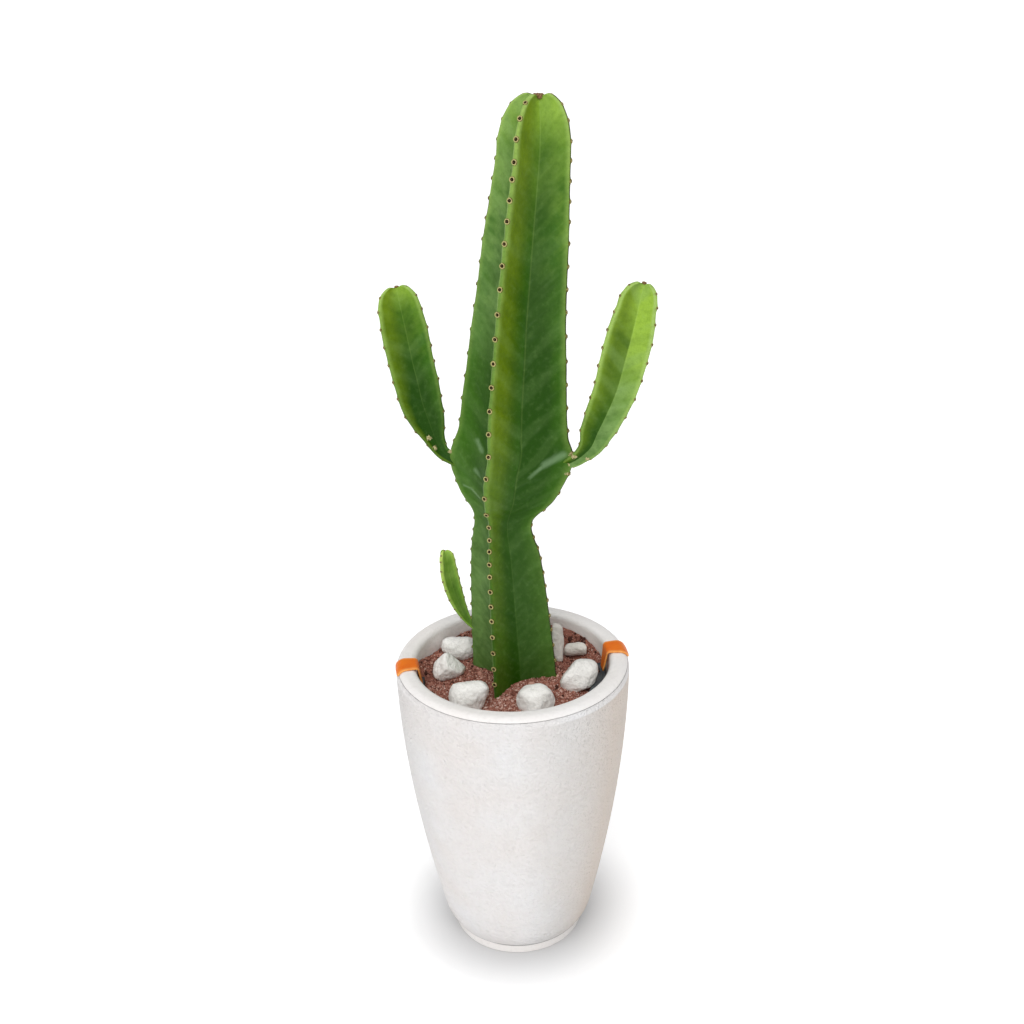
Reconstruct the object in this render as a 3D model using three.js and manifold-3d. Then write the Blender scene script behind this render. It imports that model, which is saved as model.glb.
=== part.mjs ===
// A tall four-ribbed cactus with two arms and a basal shoot, standing in a tapered white planter.
// Millimetres, +Z up. The origin is the centre of the planter's underside, and -Y is its front.
// Azimuths are in degrees about +Z: 0 looks to the front (-Y), 90 to the right (+X).

import * as THREE from 'three';
import { mergeVertices } from 'three/addons/utils/BufferGeometryUtils.js';
import Module from 'manifold-3d';

const wasm = await Module();
wasm.setup();

// ---------------------------------------------------------------- driving dimensions

const GAP = 0.3; // clearance between neighbouring pieces
const CUT_GAP = 0.4; // by which a piece is grown before it is cut out of its neighbour

// Planter: a convex, tapering body with a thick rim, on a foot disc behind a shadow joint
const POT_HEIGHT = 412;
const RIM_RADIUS = 150;
const RIM_WIDTH = 25;
const RIM_EDGE_DROP = 14; // from the flat top down to the faint line round the rim
const RIM_EDGE_RADIUS = RIM_EDGE_DROP - 2;
const RIM_INNER_CORNER = 7;
const BODY_LOW_RADIUS = 97; // where the side's curve would meet the foot, without the rounded corner
const BODY_SWELL = 1.75; // above 1 the side swells out from a straight cone
const BODY_CORNER_HEIGHT = 22;
const BODY_CORNER_INSET = 5.5;
const BODY_EDGE_BEVEL = 2; // on the body's lowest edge
const POT_FLOOR = 30; // thickness of the body's floor
const LOWER_WALL = 10;
const WALL_GROWTH = 1.5; // above 1 the wall thickens mostly near the rim
const SIDE_STEPS = 11;
const SIDE_STEP_GROWTH = 1.4; // above 1 the steps are closer together round the lower corner
const FOOT_HEIGHT = 15;
const FOOT_RADIUS = 88;
const FOOT_EDGE_BEVEL = 2;
const FOOT_STEP = 12; // how far the spacer in the shadow joint is set back from the foot's edge
const JOINT_GAP = 1.2; // height of the shadow joint between foot and body
const POT_SEGMENTS = 40;

// Liner: the slate tub that lifts out of the planter, with the rolled rim that shows beside the soil
const LINER_TOP = 381;
const LINER_RIM_OUTER = 121;
const LINER_RIM_INNER = 115;
const LINER_WALL = 2.5;
const LINER_RIM_THICKNESS = 4;
const LINER_CLEARANCE = 4; // from the liner's wall to the planter's inner wall
const LINER_FLOOR_Z = 80;
const LINER_STATIONS = 4; // heights at which the liner's wall is worked out

// Lifting hooks: orange straps over the rim, on opposite sides
const HOOK_WIDTH = 33;
const HOOK_THICKNESS = 2.4;
const HOOK_FOOT_WIDTH = 16;
const HOOK_WRAP_END = 30; // degrees above level at which the strap ends on the rounded rim edge
const HOOK_BEND_DROP = 6; // from the rim's top down to where the leg leaves the wall
const HOOK_LEFT_AZIMUTH = -83;
const HOOK_RIGHT_AZIMUTH = 97;

// Soil
const SOIL_EDGE_Z = 377; // height at the liner
const SOIL_MOUND = 9; // extra height against the trunk
const SOIL_MOUND_INNER = 40; // radii between which the mound falls away
const SOIL_MOUND_OUTER = 110;
const SOIL_GRAIN = 2.4; // height of the loose crumbs
const SOIL_SWELLS = [
  // the hollow in front of the trunk's front rib, and a heap at its right one
  { x: -24, y: -46, reach: 46, rise: -9 },
  { x: 58, y: -8, reach: 38, rise: 4 },
];
const SOIL_STEPS_AROUND = 40;
const SOIL_RADII = [16, 30, 44, 57, 69, 80, 90, 99, 107];
const SOIL_SEED = 97;
const BANK_INNER = 98; // radii of the soil banked against the planter's wall, over the liner's rim
const BANK_OUTER = 124.2;
const BANK_STEPS = 24;
const BANK_WALL_SHARE = 0.7; // share of the bank's height that it keeps over the liner's wall
const BANK_TOE_SHARE = 0.2; // and halfway down to the soil
const BANK_TOPS = [
  { azimuth: 105, z: 383 },
  { azimuth: 109, z: 387 },
  { azimuth: 118, z: 390 },
  { azimuth: 130, z: 394.5 },
  { azimuth: 147, z: 396.5 },
  { azimuth: 180, z: 392 },
  { azimuth: 213, z: 391 },
  { azimuth: 230, z: 384 },
  { azimuth: 243, z: 384 },
  { azimuth: 256, z: 394 },
  { azimuth: 263, z: 396 },
  { azimuth: 267, z: 390 },
];
const HOLE_CLEARANCE = 1; // round the trunk, past its areoles
const HOLE_VALLEY_SHARE = 0.45;

// Ribbed stems
const CREST_HALF_WIDTH = 2.6; // the rounded edge of a rib
const CREST_SHARE = 0.22; // but no more than this share of the reach, on a thin neck
const SHOULDER_DROP = 0.7; // from the crest in to its shoulders, as a share of the half width
const SHOULDER_LIFT = 0.95; // share of a crest's lift that its shoulders get
const FLANK_LIFT = 0.5;
const VALLEY_SHARE = 0.42; // depth left between ribs, as a share of the ribs' reach
const SHOOT_VALLEY_SHARE = 0.46;
const FLANK_HOLLOW = 0.05; // how far the flanks curve in, as a share of the reach
const AREOLE_RISE = 1.7; // cushions that carry the spines stand proud of the crest
const AREOLE_RINGS = 3; // cross-sections from one areole to the next on the trunk
const ARM_AREOLE_RINGS = 3;
const NECK_REACH = 8; // a shoot's areoles grow from a small share on its neck to full size
const FULL_AREOLE_REACH = 16;
const NECK_AREOLE_SHARE = 0.2;
const SHORTEST_RING_STEP = 3;
const SHOOT_CROWN_RINGS = 8;
const CROWN_ROUNDING = 0.7; // below 1 the crown is blunter than an ellipse
const APEX_DIP = 6; // the growing tip lies sunk between the crests
const APEX_DIP_RADIUS = 14;
const SHOOT_CROWN_LIFT = 0.08; // how far a shoot's crests arch up, as a share of its reach

// Trunk: heights with the reach of the side ribs, of the front and back ribs, and the centre's x
const TRUNK_RIB_AZIMUTHS = [-27, 72, 160, 247]; // front, right, back and left
const TRUNK_CENTRE_Y = 6;
const TRUNK_STATIONS = [
  { z: 300, side: 50, front: 48, x: 2 },
  { z: 372, side: 57, front: 54, x: 2 },
  { z: 475, side: 53, front: 48, x: -2.4 },
  { z: 560, side: 45.5, front: 42, x: -6 },
  { z: 590, side: 38.5, front: 35, x: -8.3 },
  { z: 605, side: 38.3, front: 36, x: -7.9 },
  { z: 616, side: 45.2, front: 40, x: -6.2 },
  { z: 632, side: 59.3, front: 51, x: -3.7 },
  { z: 650, side: 68.6, front: 57, x: -2.2 },
  { z: 670, side: 76.4, front: 59.5, x: -0.2 },
  { z: 686, side: 78.4, front: 60.3, x: 3 },
  { z: 701, side: 75.2, front: 60.8, x: 5.6 },
  { z: 717, side: 70, front: 61, x: 6 },
  { z: 757, side: 66, front: 61, x: 8.2 },
  { z: 806, side: 61.5, front: 59, x: 12.3 },
  { z: 854, side: 57.5, front: 57, x: 16 },
  { z: 901, side: 54, front: 54.5, x: 20.8 },
  { z: 947, side: 51.5, front: 52, x: 25.3 },
  { z: 992, side: 47.5, front: 49, x: 30.3 },
  { z: 1040, side: 43.5, front: 45, x: 35.5 },
];
const TRUNK_CROWN = { height: 61, lift: 6, lean: 7, rings: 13 };
const TRUNK_AREOLE_START = 373;
const TRUNK_AREOLE_PITCH = [
  { z: 300, pitch: 24.4 },
  { z: 460, pitch: 21.4 },
  { z: 545, pitch: 18.2 },
  { z: 580, pitch: 13.5 },
  { z: 600, pitch: 19.8 },
  { z: 650, pitch: 25.3 },
  { z: 720, pitch: 28 },
  { z: 850, pitch: 28 },
  { z: 930, pitch: 25 },
  { z: 1000, pitch: 21.8 },
];

// Side shoots: each grows out of a rib, in the upright plane through that rib and the trunk's axis.
// Points give the distance out from the trunk's axis, the height and the ribs' reach there. ribs
// gives the shoot's own ribs, turned about its stem from the side that the viewer sees, and
// reachShares how far each of them stands out compared with that reach.
const SHOOT_CENTRE_X = 3.5;
const ARM_CROWN_SHARE = 0.93; // height of an arm's crown as a share of its reach
const LEFT_RIB = -113;
const RIGHT_RIB = 72;
const ARMS = [
  {
    name: 'arm_left',
    azimuth: LEFT_RIB,
    viewerSide: LEFT_RIB + 90,
    ribs: [-34, 87, 207],
    reachShares: [1.08, 0.96, 0.96],
    pitch: 22,
    path: [
      { out: 66, z: 666, reach: 4.2 },
      { out: 79.5, z: 674.6, reach: 8.3 },
      { out: 91.3, z: 682.5, reach: 10 },
      { out: 99.8, z: 699, reach: 14.6 },
      { out: 107, z: 721, reach: 23.3 },
      { out: 114.6, z: 745, reach: 28.3 },
      { out: 119.5, z: 770, reach: 29.8 },
      { out: 125, z: 795, reach: 30.2 },
      { out: 131.5, z: 832, reach: 30.8 },
      { out: 136, z: 855, reach: 28.6 },
    ],
  },
  {
    name: 'arm_right',
    azimuth: RIGHT_RIB,
    viewerSide: RIGHT_RIB - 90,
    ribs: [-51, 69, 189],
    reachShares: [1.12, 0.92, 0.96],
    pitch: 22,
    path: [
      { out: 64, z: 681, reach: 4.2 },
      { out: 78.5, z: 689, reach: 8.9 },
      { out: 89.3, z: 697.5, reach: 10.8 },
      { out: 101.3, z: 711.5, reach: 15.8 },
      { out: 109, z: 730, reach: 21.3 },
      { out: 120.2, z: 755.5, reach: 25.3 },
      { out: 131.6, z: 784.5, reach: 27.8 },
      { out: 140.2, z: 817.5, reach: 29.6 },
      { out: 149, z: 854.5, reach: 29 },
      { out: 154.6, z: 882, reach: 24.8 },
    ],
  },
];
const BASAL_SHOOT = {
  name: 'shoot_basal',
  azimuth: LEFT_RIB,
  viewerSide: LEFT_RIB + 90,
  ribs: [-7, 113, 233],
  reachShares: [1, 1, 1],
  pitch: 14,
  path: [
    { out: 50, z: 437, reach: 4 },
    { out: 64, z: 447, reach: 5.5 },
    { out: 74.5, z: 462, reach: 9 },
    { out: 82.5, z: 479, reach: 12 },
    { out: 88, z: 496, reach: 13.3 },
    { out: 92, z: 514, reach: 13.6 },
    { out: 93.5, z: 531, reach: 12 },
  ],
};
const SHOOT_CROWN_SHARE = 1.15;

// Pebbles: rounded blocks with their middle near the soil. Their facets are given as seen from the
// front, at PEBBLE_VIEW_RISE above level: the angle round the outline there (0 to the right, 90 up),
// how far the facet leans to the viewer (0 on the outline, 90 face on) and its distance from the middle.
const PEBBLE_DETAIL = 3;
const PEBBLE_SOFTNESS = 12; // higher gives sharper edges between the facets
const PEBBLE_VIEW_RISE = 31;
const PEBBLES = [
  {
    name: 'pebble_back_left',
    at: [-71, 60, 392],
    outline: [[4, 24], [55, 20.5], [89, 14.5], [150, 23.5], [180, 25.5], [230, 18], [250, 15.5], [300, 20]],
    front: [[90, 90, 16], [95, 45, 16], [190, 50, 22], [290, 45, 18], [10, 45, 22]],
    back: [[90, -90, 15]],
  },
  {
    name: 'pebble_left',
    at: [-85, 9, 392],
    outline: [[50, 16], [127, 17], [180, 18.5], [236, 19.5], [290, 15.6], [345, 23]],
    front: [[90, 90, 18], [155, 45, 15], [35, 40, 14], [285, 40, 14.5]],
    back: [[90, -90, 15], [90, -45, 18]],
  },
  {
    name: 'pebble_front_left',
    at: [-56, -60, 391],
    outline: [[37, 26.5], [95, 18.5], [150, 25.5], [185, 25], [240, 21], [265, 20], [335, 21]],
    front: [[90, 90, 17], [100, 50, 17], [180, 50, 21], [315, 50, 18]],
    back: [[90, -90, 15]],
  },
  {
    name: 'pebble_front',
    at: [28, -71.8, 391],
    outline: [[18, 24], [47, 21.5], [95, 20], [139, 22.4], [182, 25], [216, 23.5], [270, 19.5], [338, 24]],
    front: [[90, 90, 18], [100, 45, 18], [200, 45, 20], [330, 50, 18.5]],
    back: [[90, -90, 15]],
  },
  {
    name: 'pebble_right',
    at: [86.2, -20.8, 393],
    outline: [[8, 25], [57, 26], [93, 21.7], [139, 17.3], [192, 28], [242, 26.5], [292, 18.3], [333, 20]],
    front: [[90, 90, 16], [60, 50, 19], [250, 50, 20], [330, 45, 18]],
    back: [[90, -90, 15]],
  },
  {
    name: 'pebble_back_right',
    at: [84.4, 54, 389.5],
    outline: [[10, 15.5], [52, 12.5], [93, 8.2], [135, 13], [180, 15], [272, 8.6], [345, 15]],
    front: [[90, 90, 9], [90, 45, 8.3], [270, 45, 8.6]],
    back: [[90, -90, 9]],
  },
  {
    name: 'pebble_upright',
    at: [60.4, 54, 401],
    outline: [[356, 8.3], [9, 9.8], [58, 22], [120, 24], [176, 8.3], [201, 12], [275, 26]],
    front: [[90, 90, 8.5], [0, 45, 8.5], [90, 50, 20]],
    back: [[90, -90, 8.5]],
  },
];

// ---------------------------------------------------------------- colours and finishes

function finish(colour, roughness, metalness = 0) {
  return new THREE.MeshStandardMaterial({ color: colour, roughness, metalness });
}

const WHITE_SHELL = finish(0xebe8ea, 0.55);
const SLATE = finish(0x3c4346, 0.6);
const ORANGE = finish(0xe67e22, 0.4);
const RED_SOIL = finish(0x80564a, 0.95);
const GREEN_FLESH = finish(0x3f7a2c, 0.45);
const YOUNG_FLESH = finish(0x7fae3a, 0.45);
const MARBLE = finish(0xecebe6, 0.5);

// ---------------------------------------------------------------- small helpers

const radians = THREE.MathUtils.degToRad;

// The level unit vector that points along an azimuth
function level(azimuth) {
  const angle = radians(azimuth);
  return new THREE.Vector3(Math.sin(angle), -Math.cos(angle), 0);
}

// A smooth value between stations: cubic, through every station, with a slope from its neighbours
function between(stations, key, name, at) {
  const last = stations.length - 1;
  const clamped = THREE.MathUtils.clamp(at, stations[0][key], stations[last][key]);
  let i = 0;
  while (i < last - 1 && stations[i + 1][key] < clamped) {
    i += 1;
  }
  const slope = (n) => {
    const before = stations[Math.max(n - 1, 0)];
    const after = stations[Math.min(n + 1, last)];
    return (after[name] - before[name]) / (after[key] - before[key]);
  };
  const span = stations[i + 1][key] - stations[i][key];
  const t = (clamped - stations[i][key]) / span;
  const rise = t * t * (3 - 2 * t);
  const startPull = t * (1 - t) * (1 - t) * span * slope(i);
  const endPull = t * t * (t - 1) * span * slope(i + 1);
  return stations[i][name] * (1 - rise) + stations[i + 1][name] * rise + startPull + endPull;
}

// Repeatable draws between 0 and 1
function seededDraws(seed) {
  const factor = 16807;
  const modulus = 2147483647;
  let state = seed;
  return () => {
    state = (state * factor) % modulus;
    return state / modulus;
  };
}

function closedGeometry(vertices, triangles) {
  const geometry = new THREE.BufferGeometry();
  geometry.setAttribute('position', new THREE.Float32BufferAttribute(vertices, 3));
  geometry.setIndex(triangles);
  return geometry;
}

function toSolid(geometry) {
  const bare = geometry.clone();
  bare.deleteAttribute('normal');
  bare.deleteAttribute('uv');
  const merged = mergeVertices(bare, 1e-4);
  const vertProperties = new Float32Array(merged.attributes.position.array);
  const triVerts = new Uint32Array(merged.index.array);
  return new wasm.Manifold(new wasm.Mesh({ numProp: 3, vertProperties, triVerts }));
}

function fromSolid(solid) {
  const mesh = solid.getMesh();
  return closedGeometry(Array.from(mesh.vertProperties), Array.from(mesh.triVerts));
}

// A cut can leave scraps on the far side of a thin rib: only the main body is kept
function largestBody(solid) {
  return solid.decompose().reduce((best, one) => (one.volume() > best.volume() ? one : best));
}

// The same closed surface moved outwards, so that a neighbour cut by it keeps a gap
function grown(geometry, distance) {
  const copy = geometry.clone();
  copy.computeVertexNormals();
  const position = copy.attributes.position;
  const normal = copy.attributes.normal;
  for (let i = 0; i < position.count; i += 1) {
    const x = position.getX(i) + distance * normal.getX(i);
    const y = position.getY(i) + distance * normal.getY(i);
    const z = position.getZ(i) + distance * normal.getZ(i);
    position.setXYZ(i, x, y, z);
  }
  return copy;
}

function piece(name, geometry, material) {
  const mesh = new THREE.Mesh(geometry, material);
  mesh.name = name;
  return mesh;
}

// A closed turned body; its profile runs from the axis at the bottom, outside first
function turned(profile) {
  const geometry = new THREE.LatheGeometry(profile, POT_SEGMENTS);
  geometry.rotateX(Math.PI / 2);
  return geometry;
}

function corner(x, y) {
  return new THREE.Vector2(x, y);
}

// ---------------------------------------------------------------- planter

const bodyBase = FOOT_HEIGHT + JOINT_GAP;
const rimEdgeZ = POT_HEIGHT - RIM_EDGE_DROP;

// Outer radius of the planter's side: a cone that swells, rounded in where it meets the foot
function bodyRadius(z) {
  const share = (z - bodyBase) / (rimEdgeZ - bodyBase);
  const swelling = 1 - (1 - share) ** BODY_SWELL;
  const inCorner = Math.max(0, 1 - (z - bodyBase) / BODY_CORNER_HEIGHT);
  return THREE.MathUtils.lerp(BODY_LOW_RADIUS, RIM_RADIUS, swelling) - BODY_CORNER_INSET * inCorner ** 2;
}

// The wall grows from its lower thickness to the width of the rim
function wallThickness(z) {
  const share = THREE.MathUtils.clamp((z - POT_FLOOR) / (POT_HEIGHT - POT_FLOOR), 0, 1);
  return THREE.MathUtils.lerp(LOWER_WALL, RIM_WIDTH, share ** WALL_GROWTH);
}

function innerRadius(z) {
  return Math.min(bodyRadius(Math.min(z, rimEdgeZ)) - wallThickness(z), RIM_RADIUS - RIM_WIDTH);
}

function rimArc(centreX, centreZ, radius, from, to, steps) {
  const arc = new THREE.EllipseCurve(centreX, centreZ, radius, radius, radians(from), radians(to));
  return arc.getPoints(steps);
}

function potShell() {
  const profile = [corner(0, bodyBase), corner(bodyRadius(bodyBase) - BODY_EDGE_BEVEL, bodyBase)];
  for (let i = 0; i <= SIDE_STEPS; i += 1) {
    const share = (i / SIDE_STEPS) ** SIDE_STEP_GROWTH;
    const z = THREE.MathUtils.lerp(bodyBase + BODY_EDGE_BEVEL, rimEdgeZ, share);
    profile.push(corner(bodyRadius(z), z));
  }
  const edgeX = RIM_RADIUS - RIM_EDGE_RADIUS;
  profile.push(...rimArc(edgeX, POT_HEIGHT - RIM_EDGE_RADIUS, RIM_EDGE_RADIUS, 0, 90, 4));
  const innerX = RIM_RADIUS - RIM_WIDTH + RIM_INNER_CORNER;
  const innerTop = POT_HEIGHT - RIM_INNER_CORNER;
  profile.push(...rimArc(innerX, innerTop, RIM_INNER_CORNER, 90, 180, 2));
  const wallSteps = 4;
  for (let i = 1; i <= wallSteps; i += 1) {
    const z = THREE.MathUtils.lerp(innerTop, POT_FLOOR, i / wallSteps);
    profile.push(corner(innerRadius(z), z));
  }
  profile.push(corner(0, POT_FLOOR));
  return piece('pot', turned(profile), WHITE_SHELL);
}

function footDisc() {
  const spacerTop = bodyBase - GAP;
  const profile = [
    corner(0, 0),
    corner(FOOT_RADIUS - FOOT_EDGE_BEVEL, 0),
    corner(FOOT_RADIUS, FOOT_EDGE_BEVEL),
    corner(FOOT_RADIUS, FOOT_HEIGHT),
    corner(FOOT_RADIUS - FOOT_STEP, FOOT_HEIGHT),
    corner(FOOT_RADIUS - FOOT_STEP, spacerTop),
    corner(0, spacerTop),
  ];
  return piece('foot_disc', turned(profile), WHITE_SHELL);
}

// ---------------------------------------------------------------- liner

// Heights and inner radii of the liner's wall, from its floor up to its rim
const linerWall = Array.from({ length: LINER_STATIONS }, (_, step) => {
  const share = step / (LINER_STATIONS - 1);
  const z = THREE.MathUtils.lerp(LINER_FLOOR_Z + LINER_WALL, LINER_TOP - LINER_RIM_THICKNESS, share);
  return { z, radius: Math.min(innerRadius(z) - LINER_CLEARANCE - LINER_WALL, LINER_RIM_INNER) };
});

function linerTub() {
  const outside = linerWall.map(({ z, radius }) => corner(radius + LINER_WALL, z));
  const inside = linerWall.map(({ z, radius }) => corner(radius, z)).reverse();
  const profile = [
    corner(0, LINER_FLOOR_Z),
    corner(linerWall[0].radius, LINER_FLOOR_Z),
    ...outside,
    corner(LINER_RIM_OUTER, LINER_TOP - LINER_RIM_THICKNESS),
    corner(LINER_RIM_OUTER, LINER_TOP - 1),
    corner(LINER_RIM_OUTER - 1, LINER_TOP),
    corner(LINER_RIM_INNER, LINER_TOP),
    ...inside,
    corner(0, LINER_FLOOR_Z + LINER_WALL),
  ];
  return piece('liner', turned(profile), SLATE);
}

// ---------------------------------------------------------------- lifting hooks

// The strap's side view: from below the rounded rim edge, over the top and down to the liner's rim
function hookSideView() {
  const flatSide = RIM_RADIUS * (1 - Math.cos(Math.PI / POT_SEGMENTS)); // the turned body's flats
  const near = RIM_EDGE_RADIUS + GAP;
  const far = near + HOOK_THICKNESS;
  const centreX = RIM_RADIUS - RIM_EDGE_RADIUS;
  const centreZ = POT_HEIGHT - RIM_EDGE_RADIUS;
  const top = POT_HEIGHT + GAP;
  const outside = rimArc(centreX, centreZ, far, HOOK_WRAP_END, 90, 6);
  const inside = rimArc(centreX, centreZ, near, HOOK_WRAP_END, 90, 6).reverse();
  const legX = RIM_RADIUS - RIM_WIDTH - flatSide - GAP;
  const footZ = LINER_TOP + GAP;
  const toe = LINER_RIM_INNER + 1;
  const heel = LINER_RIM_OUTER - 1;
  const over = [
    corner(legX, top + HOOK_THICKNESS),
    corner(legX - HOOK_THICKNESS, top),
    corner(toe, footZ + HOOK_THICKNESS),
    corner(toe, footZ),
    corner(heel, footZ),
    corner(legX, top - HOOK_BEND_DROP),
    corner(legX, top),
  ];
  return new THREE.Shape([...outside, ...over, ...inside]);
}

// The side view drawn out across the strap, narrowed down the leg and bent round the rim
function liftingHook(name, azimuth) {
  const strap = new THREE.ExtrudeGeometry(hookSideView(), {
    depth: HOOK_WIDTH,
    bevelEnabled: false,
    steps: 4,
  });
  strap.translate(0, 0, -HOOK_WIDTH / 2);
  const position = strap.attributes.position;
  for (let i = 0; i < position.count; i += 1) {
    const radius = position.getX(i);
    const height = position.getY(i);
    const isLeg = radius < RIM_RADIUS - RIM_WIDTH;
    const drop = THREE.MathUtils.clamp((POT_HEIGHT - height) / (POT_HEIGHT - LINER_TOP), 0, 1);
    const width = isLeg ? THREE.MathUtils.lerp(HOOK_WIDTH, HOOK_FOOT_WIDTH, drop) : HOOK_WIDTH;
    const turn = (position.getZ(i) / RIM_RADIUS) * (width / HOOK_WIDTH);
    position.setXYZ(i, radius * Math.cos(turn), height, radius * Math.sin(turn));
  }
  strap.rotateX(Math.PI / 2);
  strap.rotateZ(radians(azimuth - 90));
  return piece(name, strap, ORANGE);
}

// ---------------------------------------------------------------- ribbed stems

// One cross-section. Going round, every rib gives its crest, shoulder and flank, then the valley,
// then the next rib's flank and shoulder. lift raises the crests along the stem, as on a crown.
function stemRing({ centre, toZero, toQuarter, along, ribs, reach, valleyShare, lift = 0 }) {
  const ring = [];
  const spot = (azimuth, radius, liftShare) => {
    const angle = radians(azimuth);
    const point = centre.clone();
    point.addScaledVector(toZero, radius * Math.cos(angle));
    point.addScaledVector(toQuarter, radius * Math.sin(angle));
    point.addScaledVector(along, lift * liftShare);
    ring.push(point);
  };
  ribs.forEach((azimuth, k) => {
    const next = (k + 1) % ribs.length;
    const nextAzimuth = next === 0 ? ribs[0] + 360 : ribs[next];
    const halfway = (nextAzimuth - azimuth) / 2;
    const valley = ((reach[k] + reach[next]) / 2) * valleyShare;
    const edge = Math.min(CREST_HALF_WIDTH, reach[k] * CREST_SHARE);
    const polar = (x, y) => ({ radius: Math.hypot(x, y), turn: THREE.MathUtils.radToDeg(Math.atan2(y, x)) });
    const shoulder = (r) => polar(r - edge * SHOULDER_DROP, edge);
    const valleyX = valley * Math.cos(radians(halfway));
    const valleyY = valley * Math.sin(radians(halfway));
    const flank = (r) => polar((r + valleyX) / 2, (edge + valleyY) / 2 - FLANK_HOLLOW * r);
    const mine = { shoulder: shoulder(reach[k]), flank: flank(reach[k]) };
    const theirs = { shoulder: shoulder(reach[next]), flank: flank(reach[next]) };
    spot(azimuth, reach[k], 1);
    spot(azimuth + mine.shoulder.turn, mine.shoulder.radius, SHOULDER_LIFT);
    spot(azimuth + mine.flank.turn, mine.flank.radius, FLANK_LIFT);
    spot(azimuth + halfway, valley, 0);
    spot(nextAzimuth - theirs.flank.turn, theirs.flank.radius, FLANK_LIFT);
    spot(nextAzimuth - theirs.shoulder.turn, theirs.shoulder.radius, SHOULDER_LIFT);
  });
  return ring;
}

// Skin over a stack of rings, closed by a point at each end
function stemSkin(rings, start, end) {
  const count = rings[0].length;
  const vertices = [];
  rings.flat().forEach((point) => vertices.push(point.x, point.y, point.z));
  vertices.push(start.x, start.y, start.z, end.x, end.y, end.z);
  const startIndex = rings.length * count;
  const endIndex = startIndex + 1;
  const triangles = [];
  for (let i = 0; i < count; i += 1) {
    const j = (i + 1) % count;
    triangles.push(startIndex, j, i);
    const top = (rings.length - 1) * count;
    triangles.push(endIndex, top + i, top + j);
    for (let row = 0; row < rings.length - 1; row += 1) {
      const low = row * count;
      const high = low + count;
      triangles.push(low + i, low + j, high + j);
      triangles.push(low + i, high + j, high + i);
    }
  }
  return closedGeometry(vertices, triangles);
}

// How far the crest of rib k stands out at ring n: an areole on every so many rings, and those of
// neighbouring ribs half a pitch apart
function areoleRise(n, k, ringsApart) {
  const shift = k % 2 === 0 ? 0 : Math.floor(ringsApart / 2);
  return (n + shift) % ringsApart === 0 ? AREOLE_RISE : 0;
}

// The rounded top: crests arch over and dip to the growing tip, and valleys run up to meet it.
// share goes from 0 at the crown's foot to 1 at its tip.
function crownRing(base, share, crown) {
  const angle = (share * Math.PI) / 2;
  const around = Math.cos(angle);
  const reach = base.reach.map((r) => r * around ** CROWN_ROUNDING);
  const dip = APEX_DIP * crown.dipShare * Math.max(0, 1 - reach[0] / (APEX_DIP_RADIUS * crown.dipShare));
  const centre = base.centre.clone().addScaledVector(base.along, crown.height * Math.sin(angle));
  centre.addScaledVector(crown.leanTo, crown.lean * share);
  return {
    ...base,
    centre,
    reach,
    valleyShare: base.valleyShare * around ** (1 - CROWN_ROUNDING),
    lift: crown.lift * Math.sin(angle) - dip,
  };
}

function crownRings(base, crown, firstIndex, ringsApart) {
  const rings = [];
  for (let i = 1; i < crown.rings; i += 1) {
    const ring = crownRing(base, i / crown.rings, crown);
    const fade = 1 - i / crown.rings;
    ring.reach = ring.reach.map((r, k) => r + fade * areoleRise(firstIndex + i, k, ringsApart));
    rings.push(stemRing(ring));
  }
  const tip = base.centre.clone().addScaledVector(base.along, crown.height);
  tip.addScaledVector(crown.leanTo, crown.lean);
  return { rings, tip };
}

function trunkSection(z) {
  const side = between(TRUNK_STATIONS, 'z', 'side', z);
  const front = between(TRUNK_STATIONS, 'z', 'front', z);
  return {
    centre: new THREE.Vector3(between(TRUNK_STATIONS, 'z', 'x', z), TRUNK_CENTRE_Y, z),
    toZero: level(0),
    toQuarter: level(90),
    along: new THREE.Vector3(0, 0, 1),
    ribs: TRUNK_RIB_AZIMUTHS,
    reach: [front, side, front, side],
    valleyShare: VALLEY_SHARE,
  };
}

// Heights of the trunk's rings: a few plain ones in the soil, then so many for each areole
function trunkHeights() {
  const first = TRUNK_STATIONS[0].z;
  const top = TRUNK_STATIONS.at(-1).z;
  const heights = [first, (first + TRUNK_AREOLE_START) / 2];
  let z = TRUNK_AREOLE_START;
  while (z < top - SHORTEST_RING_STEP) {
    heights.push(z);
    z += between(TRUNK_AREOLE_PITCH, 'z', 'pitch', z) / AREOLE_RINGS;
  }
  return heights;
}

const trunkGeometry = (() => {
  const heights = trunkHeights();
  const plainRings = heights.filter((z) => z < TRUNK_AREOLE_START).length;
  const rings = heights.map((z, n) => {
    const section = trunkSection(z);
    if (n >= plainRings) {
      section.reach = section.reach.map((r, k) => r + areoleRise(n - plainRings, k, AREOLE_RINGS));
    }
    return stemRing(section);
  });
  const base = trunkSection(TRUNK_STATIONS.at(-1).z);
  rings.push(stemRing(base));
  const crownShape = { ...TRUNK_CROWN, leanTo: level(90), dipShare: 1 };
  const crown = crownRings(base, crownShape, heights.length - plainRings, AREOLE_RINGS);
  const foot = trunkSection(TRUNK_STATIONS[0].z).centre;
  return stemSkin([...rings, ...crown.rings], foot, crown.tip);
})();

const trunkClearance = toSolid(grown(trunkGeometry, CUT_GAP));

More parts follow.
